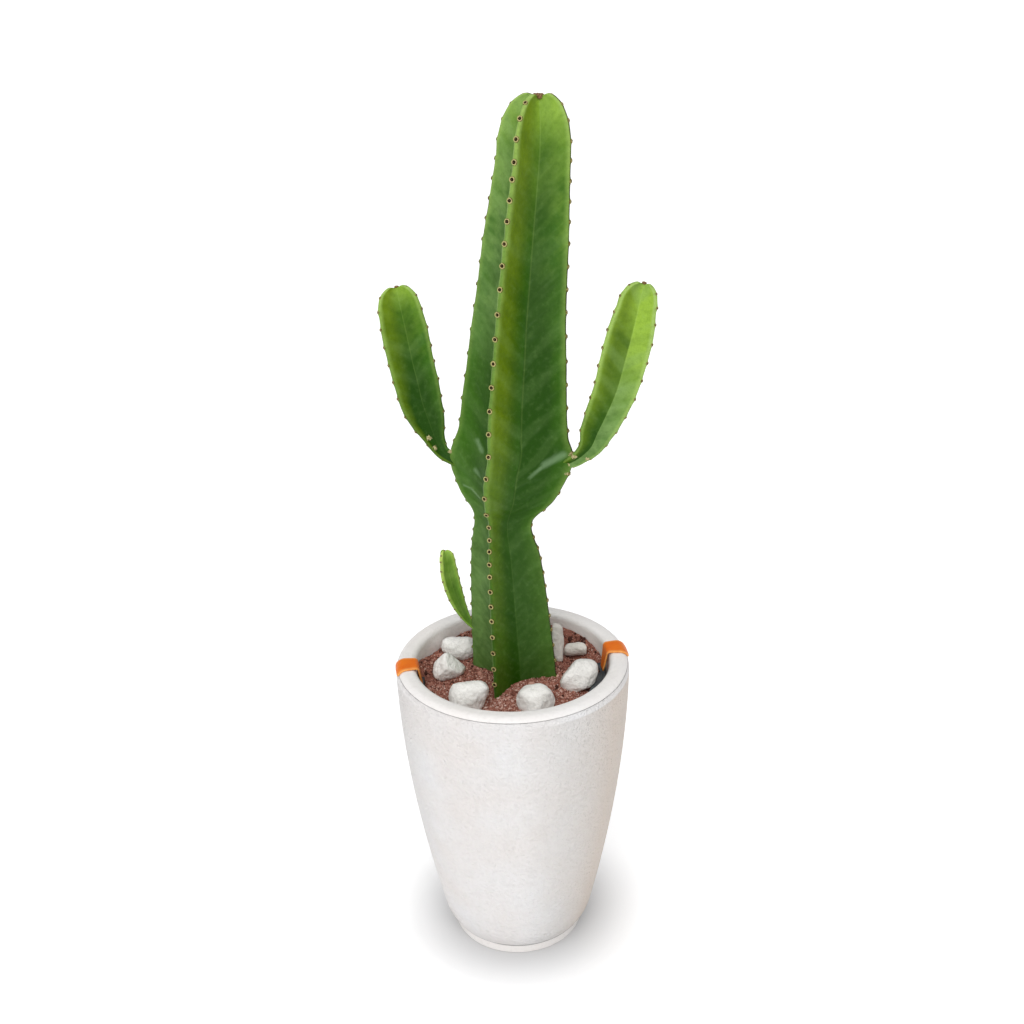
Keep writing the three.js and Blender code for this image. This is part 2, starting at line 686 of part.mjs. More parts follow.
// A shoot that leaves the trunk and turns upwards in its own upright plane
function sideShoot(shoot, crownShare, material) {
  const { name, azimuth, viewerSide, ribs, reachShares, pitch, path } = shoot;
  const outward = level(azimuth);
  const root = new THREE.Vector3(SHOOT_CENTRE_X, TRUNK_CENTRE_Y, 0);
  const points = path.map(({ out, z }) => {
    const point = root.clone().addScaledVector(outward, out);
    point.z = z;
    return point;
  });
  const curve = new THREE.CatmullRomCurve3(points, false, 'centripetal');
  const toZero = level(viewerSide);
  const length = curve.getLength();
  const steps = Math.round((length / pitch) * ARM_AREOLE_RINGS);
  const section = (share) => {
    const centre = curve.getPointAt(share);
    const along = curve.getTangentAt(share);
    const size = between(path, 'z', 'reach', centre.z);
    const reach = reachShares.map((ribShare) => size * ribShare);
    const toQuarter = along.clone().cross(toZero);
    return { centre, toZero, toQuarter, along, ribs, reach, valleyShare: SHOOT_VALLEY_SHARE };
  };
  const rings = [];
  for (let n = 0; n <= steps; n += 1) {
    const ring = section(n / steps);
    const grownShare = (ring.reach[0] - NECK_REACH) / (FULL_AREOLE_REACH - NECK_REACH);
    const strength = THREE.MathUtils.clamp(grownShare, NECK_AREOLE_SHARE, 1);
    ring.reach = ring.reach.map((r, k) => r + strength * areoleRise(n, k, ARM_AREOLE_RINGS));
    rings.push(stemRing(ring));
  }
  const base = section(1);
  const crownShape = {
    height: base.reach[0] * crownShare,
    lift: base.reach[0] * SHOOT_CROWN_LIFT,
    lean: 0,
    rings: SHOOT_CROWN_RINGS,
    leanTo: outward,
    dipShare: base.reach[0] / TRUNK_STATIONS.at(-1).front,
  };
  const crown = crownRings(base, crownShape, steps, ARM_AREOLE_RINGS);
  const whole = toSolid(stemSkin([...rings, ...crown.rings], section(0).centre, crown.tip));
  return piece(name, fromSolid(largestBody(whole.subtract(trunkClearance))), material);
}

// ---------------------------------------------------------------- pebbles

// A facet's plane: the direction that it faces, and its distance from the pebble's middle
function facetPlane(angle, lean, depth) {
  const rise = radians(PEBBLE_VIEW_RISE);
  const upward = new THREE.Vector3(0, Math.sin(rise), Math.cos(rise));
  const toViewer = new THREE.Vector3(0, -Math.cos(rise), Math.sin(rise));
  const normal = new THREE.Vector3(Math.cos(radians(angle)), 0, 0);
  normal.addScaledVector(upward, Math.sin(radians(angle)));
  normal.multiplyScalar(Math.cos(radians(lean))).addScaledVector(toViewer, Math.sin(radians(lean)));
  return { normal, depth };
}

// A tumbled marble chip: the space inside its facets, with the edges between them worn round
function pebbleGeometry({ at, outline, front, back }) {
  const facets = outline.map(([angle, depth]) => facetPlane(angle, 0, depth));
  [...front, ...back].forEach((facet) => facets.push(facetPlane(...facet)));
  const ball = mergeVertices(bareBall());
  const position = ball.attributes.position;
  for (let i = 0; i < position.count; i += 1) {
    const direction = new THREE.Vector3().fromBufferAttribute(position, i).normalize();
    let pressed = 0;
    facets.forEach(({ normal, depth }) => {
      const facing = Math.max(direction.dot(normal), 0) / depth;
      pressed += facing ** PEBBLE_SOFTNESS;
    });
    const point = direction.multiplyScalar(pressed ** (-1 / PEBBLE_SOFTNESS));
    position.setXYZ(i, point.x, point.y, point.z);
  }
  ball.translate(...at);
  return ball;
}

function bareBall() {
  const ball = new THREE.IcosahedronGeometry(1, PEBBLE_DETAIL);
  ball.deleteAttribute('normal');
  ball.deleteAttribute('uv');
  return ball;
}

const pebbleGeometries = PEBBLES.map((pebble) => ({ name: pebble.name, geometry: pebbleGeometry(pebble) }));

function pebble({ name, geometry }) {
  return piece(name, geometry, MARBLE);
}

// ---------------------------------------------------------------- soil

// Height of the loose surface: a low mound against the trunk, a hollow, a heap, and crumbs on it all
function soilHeight(x, y, draw) {
  const share = 1 - THREE.MathUtils.smoothstep(Math.hypot(x, y), SOIL_MOUND_INNER, SOIL_MOUND_OUTER);
  let height = SOIL_EDGE_Z + SOIL_MOUND * share + SOIL_GRAIN * (2 * draw() - 1);
  SOIL_SWELLS.forEach((swell) => {
    const distance = Math.hypot(x - swell.x, y - swell.y) / swell.reach;
    height += swell.rise * Math.max(0, 1 - distance ** 2) ** 2;
  });
  return height;
}

// The soil fills the liner. Its top is a ringed sheet of crumbs, its wall follows the liner's.
function soilBody() {
  const draw = seededDraws(SOIL_SEED);
  const rows = linerWall.map(({ z, radius }) => ({ radius: radius - 1.5 * GAP, z }));
  rows[0].z += GAP;
  rows.at(-1).z = SOIL_EDGE_Z - SOIL_GRAIN - 1;
  const shoulderRadius = rows.at(-1).radius - SOIL_GRAIN;
  const vertices = [];
  const addRow = (radius, heightAt) => {
    for (let i = 0; i < SOIL_STEPS_AROUND; i += 1) {
      const angle = (2 * Math.PI * i) / SOIL_STEPS_AROUND;
      const x = radius * Math.cos(angle);
      const y = radius * Math.sin(angle);
      vertices.push(x, y, heightAt(x, y));
    }
  };
  rows.forEach(({ radius, z }) => addRow(radius, () => z));
  const topRadii = [...SOIL_RADII, shoulderRadius].reverse();
  topRadii.forEach((radius) => addRow(radius, (x, y) => soilHeight(x, y, draw)));
  const rowCount = rows.length + topRadii.length;
  const bottom = vertices.length / 3;
  vertices.push(0, 0, rows[0].z, 0, 0, SOIL_EDGE_Z + SOIL_MOUND);
  const triangles = [];
  for (let i = 0; i < SOIL_STEPS_AROUND; i += 1) {
    const j = (i + 1) % SOIL_STEPS_AROUND;
    triangles.push(bottom, j, i);
    const top = (rowCount - 1) * SOIL_STEPS_AROUND;
    triangles.push(bottom + 1, top + i, top + j);
    for (let row = 0; row < rowCount - 1; row += 1) {
      const low = row * SOIL_STEPS_AROUND;
      const high = low + SOIL_STEPS_AROUND;
      triangles.push(low + i, low + j, high + j);
      triangles.push(low + i, high + j, high + i);
    }
  }
  return closedGeometry(vertices, triangles);
}

// The hole that the trunk stands in: the trunk's own outline at the surface, straight down
function trunkHole() {
  const holeRing = (z) => {
    const section = trunkSection(TRUNK_STATIONS[1].z);
    section.reach = section.reach.map((r) => r + AREOLE_RISE + HOLE_CLEARANCE);
    section.valleyShare = HOLE_VALLEY_SHARE;
    section.centre.z = z;
    return section;
  };
  const low = holeRing(TRUNK_STATIONS[0].z - HOLE_CLEARANCE);
  const high = holeRing(SOIL_EDGE_Z + 2 * SOIL_MOUND);
  return toSolid(stemSkin([stemRing(low), stemRing(high)], low.centre, high.centre));
}

// The bank behind the plant: an arc of soil that lies over the liner's rim and up the planter's wall
function soilBank() {
  const wall = linerWall.at(-1).radius - 3 * GAP;
  const rimTop = LINER_TOP + GAP;
  const first = BANK_TOPS[0].azimuth;
  const last = BANK_TOPS.at(-1).azimuth;
  const sunk = SOIL_EDGE_Z - 2 * SOIL_GRAIN;
  const vertices = [];
  for (let i = 0; i <= BANK_STEPS; i += 1) {
    const azimuth = THREE.MathUtils.lerp(first, last, i / BANK_STEPS);
    const top = between(BANK_TOPS, 'azimuth', 'z', azimuth);
    const outward = level(azimuth);
    const section = [
      [BANK_INNER, sunk],
      [wall, sunk],
      [wall, rimTop],
      [BANK_OUTER, rimTop],
      [BANK_OUTER, top],
      [wall, THREE.MathUtils.lerp(rimTop, top, BANK_WALL_SHARE)],
      [(BANK_INNER + wall) / 2, THREE.MathUtils.lerp(SOIL_EDGE_Z, top, BANK_TOE_SHARE)],
    ];
    section.forEach(([radius, z]) => vertices.push(outward.x * radius, outward.y * radius, z));
  }
  const count = vertices.length / 3 / (BANK_STEPS + 1);
  const triangles = [];
  for (let step = 0; step < BANK_STEPS; step += 1) {
    for (let i = 0; i < count; i += 1) {
      const near = step * count + i;
      const nearNext = step * count + ((i + 1) % count);
      triangles.push(near, near + count, nearNext + count);
      triangles.push(near, nearNext + count, nearNext);
    }
  }
  // Each end is closed by a fan from the hollow corner, which sees every other corner
  const hollow = 2;
  const lastRow = BANK_STEPS * count;
  for (let step = 1; step < count - 1; step += 1) {
    const i = (hollow + step) % count;
    const j = (hollow + step + 1) % count;
    triangles.push(hollow, i, j);
    triangles.push(lastRow + hollow, lastRow + j, lastRow + i);
  }
  return closedGeometry(vertices, triangles);
}

function soil() {
  let body = toSolid(soilBody()).add(toSolid(soilBank())).subtract(trunkHole());
  pebbleGeometries.forEach(({ geometry }) => {
    body = body.subtract(toSolid(grown(geometry, CUT_GAP)));
  });
  return piece('soil', fromSolid(body), RED_SOIL);
}

// ---------------------------------------------------------------- the whole plant

const plant = new THREE.Group();
plant.add(potShell(), footDisc(), linerTub(), soil());
plant.add(liftingHook('hook_left', HOOK_LEFT_AZIMUTH));
plant.add(liftingHook('hook_right', HOOK_RIGHT_AZIMUTH));
plant.add(piece('stem_main', trunkGeometry, GREEN_FLESH));
ARMS.forEach((arm) => plant.add(sideShoot(arm, ARM_CROWN_SHARE, GREEN_FLESH)));
plant.add(sideShoot(BASAL_SHOOT, SHOOT_CROWN_SHARE, YOUNG_FLESH));
pebbleGeometries.forEach((one) => plant.add(pebble(one)));

export default plant;
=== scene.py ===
# %% [markdown]
# # A tall ribbed cactus in a white planter
#
# A construction model of this plant already exists. It fixes every size and place: the planter, the
# tub inside it with two lifting straps, the soil, seven pebbles, the ribbed trunk, its two arms and a
# young shoot. This lesson dresses that model. Each piece is made again with a fine surface in the same
# place and gets a finish built from nodes, so that it holds up close by and from every side.

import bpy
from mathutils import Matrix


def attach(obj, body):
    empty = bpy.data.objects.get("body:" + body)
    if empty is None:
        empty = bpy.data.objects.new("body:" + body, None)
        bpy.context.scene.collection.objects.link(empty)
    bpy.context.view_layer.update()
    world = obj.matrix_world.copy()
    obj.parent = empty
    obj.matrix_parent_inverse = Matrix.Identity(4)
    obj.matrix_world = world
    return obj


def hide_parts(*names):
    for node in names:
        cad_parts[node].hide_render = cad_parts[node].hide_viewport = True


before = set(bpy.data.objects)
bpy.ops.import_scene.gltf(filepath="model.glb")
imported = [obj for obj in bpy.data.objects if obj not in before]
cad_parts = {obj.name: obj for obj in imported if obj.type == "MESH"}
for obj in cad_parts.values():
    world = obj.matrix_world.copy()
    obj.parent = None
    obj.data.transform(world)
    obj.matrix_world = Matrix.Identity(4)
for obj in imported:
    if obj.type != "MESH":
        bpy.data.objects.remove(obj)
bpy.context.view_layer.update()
print("pieces in the construction model:", len(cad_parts))

# %% [markdown]
# ## Units and a way to make pieces
#
# The plant was measured in millimetres, so every length below is in millimetres and becomes metres
# only when a mesh is made. Most pieces here are skins over rows of points: a turned planter is rows of
# circles, a stem is rows of ribbed outlines. Blender could make them with a Screw modifier or by
# lofting curves, but arrays of points keep full control of every row, and a formula can then raise
# relief on them.

# %% Libraries and units
import math

import bmesh
import bpy
import numpy as np
from mathutils import Matrix, Vector, noise

MM = 0.001
TURN = 2 * math.pi


# %% One way to make every piece
def add_piece(name, points, faces, finish, stands_for=None, slot=None, masks=None, flat=False):
    """An object made from points in millimetres, riding on the part's one body."""
    mesh = bpy.data.meshes.new(name)
    mesh.from_pydata((np.asarray(points) * MM).tolist(), [], faces)
    for label, values in (masks or {}).items():
        attribute = mesh.attributes.new(label, "FLOAT", "POINT")
        attribute.data.foreach_set("value", np.asarray(values, np.float32).ravel())
    mesh.materials.append(finish)
    if not flat:
        mesh.shade_smooth()
    piece = bpy.data.objects.new(name, mesh)
    bpy.context.scene.collection.objects.link(piece)
    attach(piece, "root")
    if stands_for:
        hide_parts(stands_for)
    print(f"{name}: {len(mesh.vertices)} points, {len(mesh.polygons)} faces")


# %% Skin over rows of points
def skin_faces(rows, row_size):
    """Faces over closed rows of points that are followed by a first and a last pole."""
    first_pole = rows * row_size
    last_pole = first_pole + 1
    last_row = (rows - 1) * row_size
    faces = []
    for i in range(row_size):
        j = (i + 1) % row_size
        faces.append((first_pole, j, i))
        faces.append((last_pole, last_row + i, last_row + j))
        for low in range(0, last_row, row_size):
            high = low + row_size
            faces.append((low + i, low + j, high + j, high + i))
    return faces


def turned(profile, segments=192):
    """A closed body turned from (radius, height) pairs, from the axis below, outside first."""
    angles = np.arange(segments) * TURN / segments
    ring = np.stack([np.sin(angles), -np.cos(angles)], -1)
    radius, height = np.array(profile[1:-1]).T
    across = ring[None] * radius[:, None, None]
    up = np.repeat(height[:, None, None], segments, 1)
    rows = np.concatenate([across, up], -1).reshape(-1, 3)
    poles = [(0, 0, profile[0][1]), (0, 0, profile[-1][1])]
    return np.vstack([rows, poles]), skin_faces(len(radius), segments)


# %% Places round the axis
def off_axis(radius, azimuth):
    """x and y at this distance from the planter's axis: azimuth 0 is to the front, 90 to the right."""
    return radius * np.sin(np.radians(azimuth)), -radius * np.cos(np.radians(azimuth))


def azimuth_of(x, y):
    """The azimuth of a place in degrees, from -180 to 180."""
    return np.degrees(np.arctan2(x, -y))


def rising(x, low, high):
    """0 up to low, 1 from high on, and a straight line in between."""
    return np.clip((x - low) / (high - low), 0, 1)


# %% [markdown]
# ## Shader maths
#
# A finish is a tree of nodes, and its sums are easier to read as expressions. One class wraps an
# output socket, so that `1 - mask * 0.5` adds the Math nodes for it. Colours go through Mix nodes,
# because a Math node would turn them grey.

# %% A signal: a number that changes over a surface
class Signal:
    """An output socket with arithmetic."""

    def __init__(self, finish, socket):
        self.finish = finish
        self.socket = socket

    def maths(self, operation, first, second):
        return self.finish.node("ShaderNodeMath", {"operation": operation}, {0: first, 1: second})

    def __add__(self, other):
        return self.maths("ADD", self, other)

    __radd__ = __add__

    def __sub__(self, other):
        return self.maths("SUBTRACT", self, other)

    def __rsub__(self, other):
        return self.maths("SUBTRACT", other, self)

    def __mul__(self, other):
        return self.maths("MULTIPLY", self, other)

    __rmul__ = __mul__

    def ease(self, low, high):
        """0 up to low, 1 from high on, and smooth in the middle."""
        settings = {"interpolation_type": "SMOOTHSTEP"}
        inputs = {"Value": self, "From Min": low, "From Max": high}
        return self.finish.node("ShaderNodeMapRange", settings, inputs)

    def ramp(self, *stops):
        """Colours laid out along the signal, as (place, colour) pairs."""
        return self.finish.node("ShaderNodeValToRGB", {"stops": stops}, {"Fac": self})


# %% A finish: one material and the nodes behind it
class Finish:
    """A Principled material. Constants go straight onto its shader; signals are fed in later."""

    def __init__(self, name, **constants):
        self.material = bpy.data.materials.new(name)
        self.material.use_nodes = True
        self.tree = self.material.node_tree
        self.shader = self.tree.nodes["Principled BSDF"]
        for socket, value in constants.items():
            self.plug(self.shader.inputs[socket.replace("_", " ")], value)

    def plug(self, socket, value):
        if isinstance(value, Signal):
            self.tree.links.new(value.socket, socket)
        elif socket.type == "RGBA":
            socket.default_value = (*value, 1)
        else:
            socket.default_value = value

    def node(self, kind, settings=None, inputs=None, output=0):
        """Any node: its settings first, then the values or signals of its sockets."""
        made = self.tree.nodes.new(kind)
        for setting, value in (settings or {}).items():
            if setting == "stops":
                self.lay_stops(made.color_ramp.elements, value)
            else:
                setattr(made, setting, value)
        for socket, value in (inputs or {}).items():
            self.plug(made.inputs[socket], value)
        return Signal(self, made.outputs[output])

    def lay_stops(self, elements, stops):
        while len(elements) < len(stops):
            elements.new(1)
        for element, (place, colour) in zip(elements, stops):
            element.position = place
            element.color = (*colour, 1)

    def mask(self, label):
        """A number that the mesh carries at its points."""
        return self.node("ShaderNodeAttribute", {"attribute_name": label}, output="Fac")

    def grain(self, size, detail=3, seed=0):
        """Cloudy noise whose lumps are about this many millimetres across."""
        place = self.node("ShaderNodeTexCoord", output="Object")
        inputs = {"Vector": place, "Scale": (1 / (size * MM),) * 3, "Location": (seed,) * 3}
        scaled = self.node("ShaderNodeMapping", {}, inputs)
        return self.node("ShaderNodeTexNoise", {}, {"Vector": scaled, "Scale": 1, "Detail": detail})

    def blend(self, share, low, high):
        """A colour between two others."""
        return self.node("ShaderNodeMix", {"data_type": "RGBA"}, {0: share, 6: low, 7: high}, output=2)

    def relief(self, height, depth):
        """Feeds the normal with a height signal of this depth in millimetres."""
        bump = self.node("ShaderNodeBump", {}, {"Height": height, "Distance": depth * MM})
        self.feed(Normal=bump)

    def feed(self, **signals):
        for socket, signal in signals.items():
            self.plug(self.shader.inputs[socket.replace("_", " ")], signal)
        print(f"{self.material.name}: {' and '.join(signals)} fed, {len(self.tree.nodes)} nodes")
        return self.material


def paint(*red_green_blue):
    """A colour read off a screen, 0 to 255, as the linear light that shaders work in."""
    shares = [value / 255 for value in red_green_blue]
    return tuple(s / 12.92 if s < 0.04045 else ((s + 0.055) / 1.055) ** 2.4 for s in shares)


# %% [markdown]
# ## The camera
#
# The plant was photographed from a standing eye height, looking down. The planter's mouth, its seam
# and its foot are circles of known size, and the way they flatten into ellipses fixes the camera's
# height, distance and tilt. The small roll is real too: the upright edges lean a little.

# %% Camera
FRAME_PIXELS = 1024
FOCAL_PIXELS = 1300
SENSOR_WIDTH = 36
CAMERA_SIDE = 3.8
CAMERA_DISTANCE = 1453.6
CAMERA_HEIGHT = 1265.7
CAMERA_TILT = 24.09
CAMERA_ROLL = -1.34

lens = bpy.data.cameras.new("camera")
lens.sensor_width = SENSOR_WIDTH
lens.lens = FOCAL_PIXELS * SENSOR_WIDTH / FRAME_PIXELS
lens.clip_end = 200
camera = bpy.data.objects.new("camera", lens)
place = Matrix.Translation(Vector((CAMERA_SIDE, -CAMERA_DISTANCE, CAMERA_HEIGHT)) * MM)
tilt = Matrix.Rotation(math.radians(90 - CAMERA_TILT), 4, "X")
roll = Matrix.Rotation(math.radians(CAMERA_ROLL), 4, "Z")
camera.matrix_world = place @ tilt @ roll
bpy.context.scene.collection.objects.link(camera)
bpy.context.scene.camera = camera
print(f"lens of {lens.lens:.1f} mm")

# %% [markdown]
# ## Floor and light
#
# A plain white floor and soft studio light show the form without colouring it. Product photographers
# stand things on a glowing sheet, which goes pure white. The floor here is such a sheet, with a painted
# shadow under the foot: a grey disc where it is darker and glows less, so that the planter still seems
# to stand on something. A very wide soft box hangs at the front left under a bright ceiling. Suns with
# wide discs do for both: they light the whole floor evenly, and their shadows are as soft. Weaker ones
# fill in from the left and the front.

# %% Floor
FLOOR_HALF_WIDTH = 60000
SHADOW_DISC_FADES_FROM = 50
SHADOW_DISC_ENDS_AT = 215


def floor_finish():
    finish = Finish("floor", Roughness=0.9, Specular_IOR_Level=0.1, Emission_Strength=0.3)
    tone = finish.grain(300).ramp((0, paint(247, 247, 248)), (1, paint(250, 250, 250)))
    place = finish.node("ShaderNodeTexCoord", output="Object")
    reach = finish.node("ShaderNodeVectorMath", {"operation": "LENGTH"}, {0: place}, output="Value")
    # painted shadow: a darker colour and a weaker glow near the foot
    far = reach.ease(SHADOW_DISC_FADES_FROM * MM, SHADOW_DISC_ENDS_AT * MM)
    glow = far.ramp((0, (0.1, 0.1, 0.1)), (1, (1, 1, 1)))
    return finish.feed(Base_Color=finish.blend(far, paint(198, 198, 199), tone), Emission_Color=glow)


corners = [(x * FLOOR_HALF_WIDTH, y * FLOOR_HALF_WIDTH, 0) for x, y in ((-1, -1), (1, -1), (1, 1), (-1, 1))]
floor_mesh = bpy.data.meshes.new("floor")
floor_mesh.from_pydata((np.array(corners) * MM).tolist(), [], [(0, 1, 2, 3)])
floor_mesh.materials.append(floor_finish())
floor = bpy.data.objects.new("floor", floor_mesh)
bpy.context.scene.collection.objects.link(floor)
print(f"floor: {2 * FLOOR_HALF_WIDTH * MM:.0f} m wide, with a grey disc of {2 * SHADOW_DISC_ENDS_AT} mm")


# %% Surround and suns
def soft_sun(name, azimuth, elevation, strength, spread, colour):
    """A sun with a wide disc: azimuth 0 stands at the front, 90 at the right."""
    lamp = bpy.data.lights.new(name, "SUN")
    lamp.energy = strength
    lamp.angle = math.radians(spread)
    lamp.color = colour
    sun = bpy.data.objects.new(name, lamp)
    flat = math.cos(math.radians(elevation))
    across = flat * math.sin(math.radians(azimuth))
    sun_from = Vector((across, -flat * math.cos(math.radians(azimuth)), math.sin(math.radians(elevation))))
    sun.rotation_euler = sun_from.to_track_quat("Z", "Y").to_euler()
    bpy.context.scene.collection.objects.link(sun)
    print(f"sun {name}: strength {strength}, {spread} degrees wide, {elevation} degrees up")


world = bpy.data.worlds.new("surround")
world.use_nodes = True
world.node_tree.nodes["Background"].inputs["Color"].default_value = (0.98, 0.99, 1, 1)
world.node_tree.nodes["Background"].inputs["Strength"].default_value = 0.25
bpy.context.scene.world = world
bpy.context.scene.view_settings.view_transform = "Standard"

soft_sun("key", azimuth=-8, elevation=50, strength=1.2, spread=50, colour=(1, 0.99, 0.975))
soft_sun("ceiling", azimuth=0, elevation=86, strength=1.2, spread=90, colour=(1, 1, 1))
soft_sun("left_side", azimuth=-80, elevation=18, strength=0.2, spread=60, colour=(1, 1, 1))
soft_sun("front_fill", azimuth=-12, elevation=10, strength=0.45, spread=40, colour=(1, 1, 1))

# %% [markdown]
# ## The planter
#
# The planter is a thick plastic shell: a tapering side that swells outwards, a broad rounded rim with
# a faint line on its round, and a low foot set off by a shadow joint. It is turned from one profile.
# The profile follows the same formulas as the construction model, in far smaller steps.

# %% Sizes of the planter
GAP = 0.3
POT_HEIGHT = 412
RIM_RADIUS = 150
RIM_WIDTH = 25
RIM_EDGE_DROP = 14
RIM_EDGE_RADIUS = 12
RIM_INNER_CORNER = 7
BODY_LOW_RADIUS = 97
BODY_SWELL = 1.75
BODY_CORNER_HEIGHT = 22
BODY_CORNER_INSET = 5.5
POT_FLOOR = 30
LOWER_WALL = 10
FOOT_HEIGHT = 15
FOOT_RADIUS = 88
JOINT_GAP = 1.2
BODY_BASE = FOOT_HEIGHT + JOINT_GAP
RIM_EDGE_Z = POT_HEIGHT - RIM_EDGE_DROP
RIM_ROUND_CENTRE = (RIM_RADIUS - RIM_EDGE_RADIUS, POT_HEIGHT - RIM_EDGE_RADIUS)
LINE_ANGLE = 33
LINE_SPREAD = 2.6
LINE_DEPTH = 0.9


# %% Radii of its side and its wall
def body_radius(z):
    share = (z - BODY_BASE) / (RIM_EDGE_Z - BODY_BASE)
    swelling = 1 - (1 - share) ** BODY_SWELL
    in_corner = max(0, 1 - (z - BODY_BASE) / BODY_CORNER_HEIGHT)
    return BODY_LOW_RADIUS + (RIM_RADIUS - BODY_LOW_RADIUS) * swelling - BODY_CORNER_INSET * in_corner**2


def inner_radius(z):
    share = min(max((z - POT_FLOOR) / (POT_HEIGHT - POT_FLOOR), 0), 1)
    wall = LOWER_WALL + (RIM_WIDTH - LOWER_WALL) * share**1.5
    return min(body_radius(min(z, RIM_EDGE_Z)) - wall, RIM_RADIUS - RIM_WIDTH)


def arc(centre, radius, start, end, steps):
    """Points round part of a circle, with angles in degrees."""
    angles = np.radians(np.linspace(start, end, steps + 1))
    return [(centre[0] + radius * math.cos(a), centre[1] + radius * math.sin(a)) for a in angles]


for place, z in (("joint", BODY_BASE), ("rim", RIM_EDGE_Z)):
    print(f"side's radius at the {place}: {body_radius(z):.1f} mm")


# %% [markdown]
# The plastic is white with a fine orange-peel texture, slightly cloudy, and satin rather than glossy.
# Two sizes of noise give the peel; a wider, weaker one shifts the white between warm and cool, as
# moulded plastic does. The dips of the peel are painted a little darker, a painted shade. It isn't one
# white all over. Masks on the mesh paint shade and light: a painted shade, darker and warmer, round the
# side to the right and a little high up at the left; painted light on the mouth, the foot and the top of
# the rim, which are also smoother; and painted shade in the joint over the foot and in the line on the rim.

# %% White plastic
PEEL_DEPTH = 5.5
SMOOTH_AND_LIT_ON_RIM = 0.45


def white_plastic():
    finish = Finish("white_shell", Specular_IOR_Level=0.4)
    cloud = finish.grain(80, detail=1).ramp((0.3, paint(234, 229, 227)), (0.7, paint(237, 236, 237)))
    fleck = finish.grain(20, detail=4, seed=7).ease(0.35, 0.7)
    colour = finish.blend(fleck * 0.1, cloud, paint(218, 215, 206))
    # painted shade: the side darker and warmer round to the right and a little high up at the left
    old = finish.mask("aged")
    side_shade_colour = old.ramp((0.4, paint(205, 201, 197)), (1, paint(217, 205, 195)))
    colour = finish.blend(old, colour, side_shade_colour)
    # painted light: the mouth, the foot and the top of the rim lighter; they also get a weaker peel
    clean = finish.mask("clean")
    colour = finish.blend(clean, colour, paint(250, 246, 243))
    # painted shade in the joint over the foot and in the line on the rim
    colour = finish.blend(finish.mask("grime") * (fleck * 0.3 + 0.7), colour, paint(44, 42, 39))
    peel = finish.grain(4.4, detail=3)
    fine = finish.grain(1.2, detail=2, seed=5)
    # painted shade in the dips of the peel
    colour = finish.blend((1 - peel.ease(0.3, 0.55)) * 0.07, colour, paint(176, 172, 168))
    level_at_middle = peel * 0.8 + fine * 0.2 - 0.5  # so that a weaker peel makes no step at its edge
    finish.relief(level_at_middle * (1 - clean.ease(0, SMOOTH_AND_LIT_ON_RIM) * 0.8), PEEL_DEPTH)
    return finish.feed(Base_Color=colour, Roughness=finish.grain(5).ease(0.2, 0.8) * 0.14 + 0.46)


plastic = white_plastic()


# %% Shell with its rim
def rim_line():
    """The deepest point of the line on the rim's round, as an arc of no length."""
    return arc(RIM_ROUND_CENTRE, RIM_EDGE_RADIUS - LINE_DEPTH, LINE_ANGLE, LINE_ANGLE, 0)


def shell_profile():
    bevel = 2
    side_height = RIM_EDGE_Z - BODY_BASE - bevel - 1
    profile = [(0, BODY_BASE), (body_radius(BODY_BASE) - bevel - 3, BODY_BASE)]
    profile += arc((body_radius(BODY_BASE + bevel) - bevel, BODY_BASE + bevel), bevel, -90, 0, 4)
    side = [RIM_EDGE_Z - side_height * share**1.3 for share in np.linspace(1, 0, 90)]
    profile += [(body_radius(z), z) for z in side]
    profile += arc(RIM_ROUND_CENTRE, RIM_EDGE_RADIUS, 0, LINE_ANGLE - LINE_SPREAD, 8)
    profile += rim_line()
    profile += arc(RIM_ROUND_CENTRE, RIM_EDGE_RADIUS, LINE_ANGLE + LINE_SPREAD, 90, 12)
    lip = (RIM_RADIUS - RIM_WIDTH + RIM_INNER_CORNER, POT_HEIGHT - RIM_INNER_CORNER)
    profile += arc(lip, RIM_INNER_CORNER, 90, 180, 8)
    profile += [(inner_radius(z), z) for z in np.linspace(lip[1] - 1, POT_FLOOR + 4, 60)]
    return profile + [(inner_radius(POT_FLOOR) - 4, POT_FLOOR), (0, POT_FLOOR)]


# %% Where shade and light are painted on the white, and where it is smoother
def aged(azimuth, height):
    """1 where shade is painted on the white: round the side to the right, and a little high up at the left.
    """
    right = rising(azimuth, 2, 57)
    left = rising(-azimuth, 45, 70) * np.minimum(rising(height, 100, 300), 0.4)
    from_behind = 175 - np.abs(azimuth)
    return (right + left) * rising(from_behind, 0, 60)


def in_shade(azimuth):
    """How dark the joint over the foot looks: most at the front right."""
    darkest_at = 45
    all_round = 0.45
    return all_round + (1 - all_round) * np.maximum(np.cos(np.radians(azimuth - darkest_at)), 0)


def shell_masks(points):
    azimuth = azimuth_of(points[:, 0], points[:, 1])
    distance, height = np.hypot(points[:, 0], points[:, 1]), points[:, 2]
    side = np.array([body_radius(min(max(z, BODY_BASE), RIM_EDGE_Z)) for z in height])
    mouth_radius = RIM_RADIUS - RIM_WIDTH + 0.5
    in_mouth = (distance < np.minimum(side - LOWER_WALL / 2, mouth_radius)) & (height > POT_FLOOR + 1)
    line_radius, line_height = rim_line()[0]
    on_line = np.hypot(distance - line_radius, height - line_height) < 0.01
    # painted shade over the joint and in the rim's line, painted light in the mouth and on the rim's top
    over_joint = height < BODY_BASE + 1.5
    return {
        "aged": aged(azimuth, height) * ~in_mouth * (height < RIM_EDGE_Z + 1),
        "clean": np.maximum(in_mouth, np.clip(height - line_height, 0, SMOOTH_AND_LIT_ON_RIM)),
        "grime": np.maximum(over_joint * in_shade(azimuth), on_line * 0.8),
    }


shell_points, shell_faces = turned(shell_profile())
masks = shell_masks(shell_points)
add_piece("planter_shell", shell_points, shell_faces, plastic, "pot", "white_shell", masks)


# %% Foot disc behind its shadow joint
FOOT_DARK_FROM = 12.3


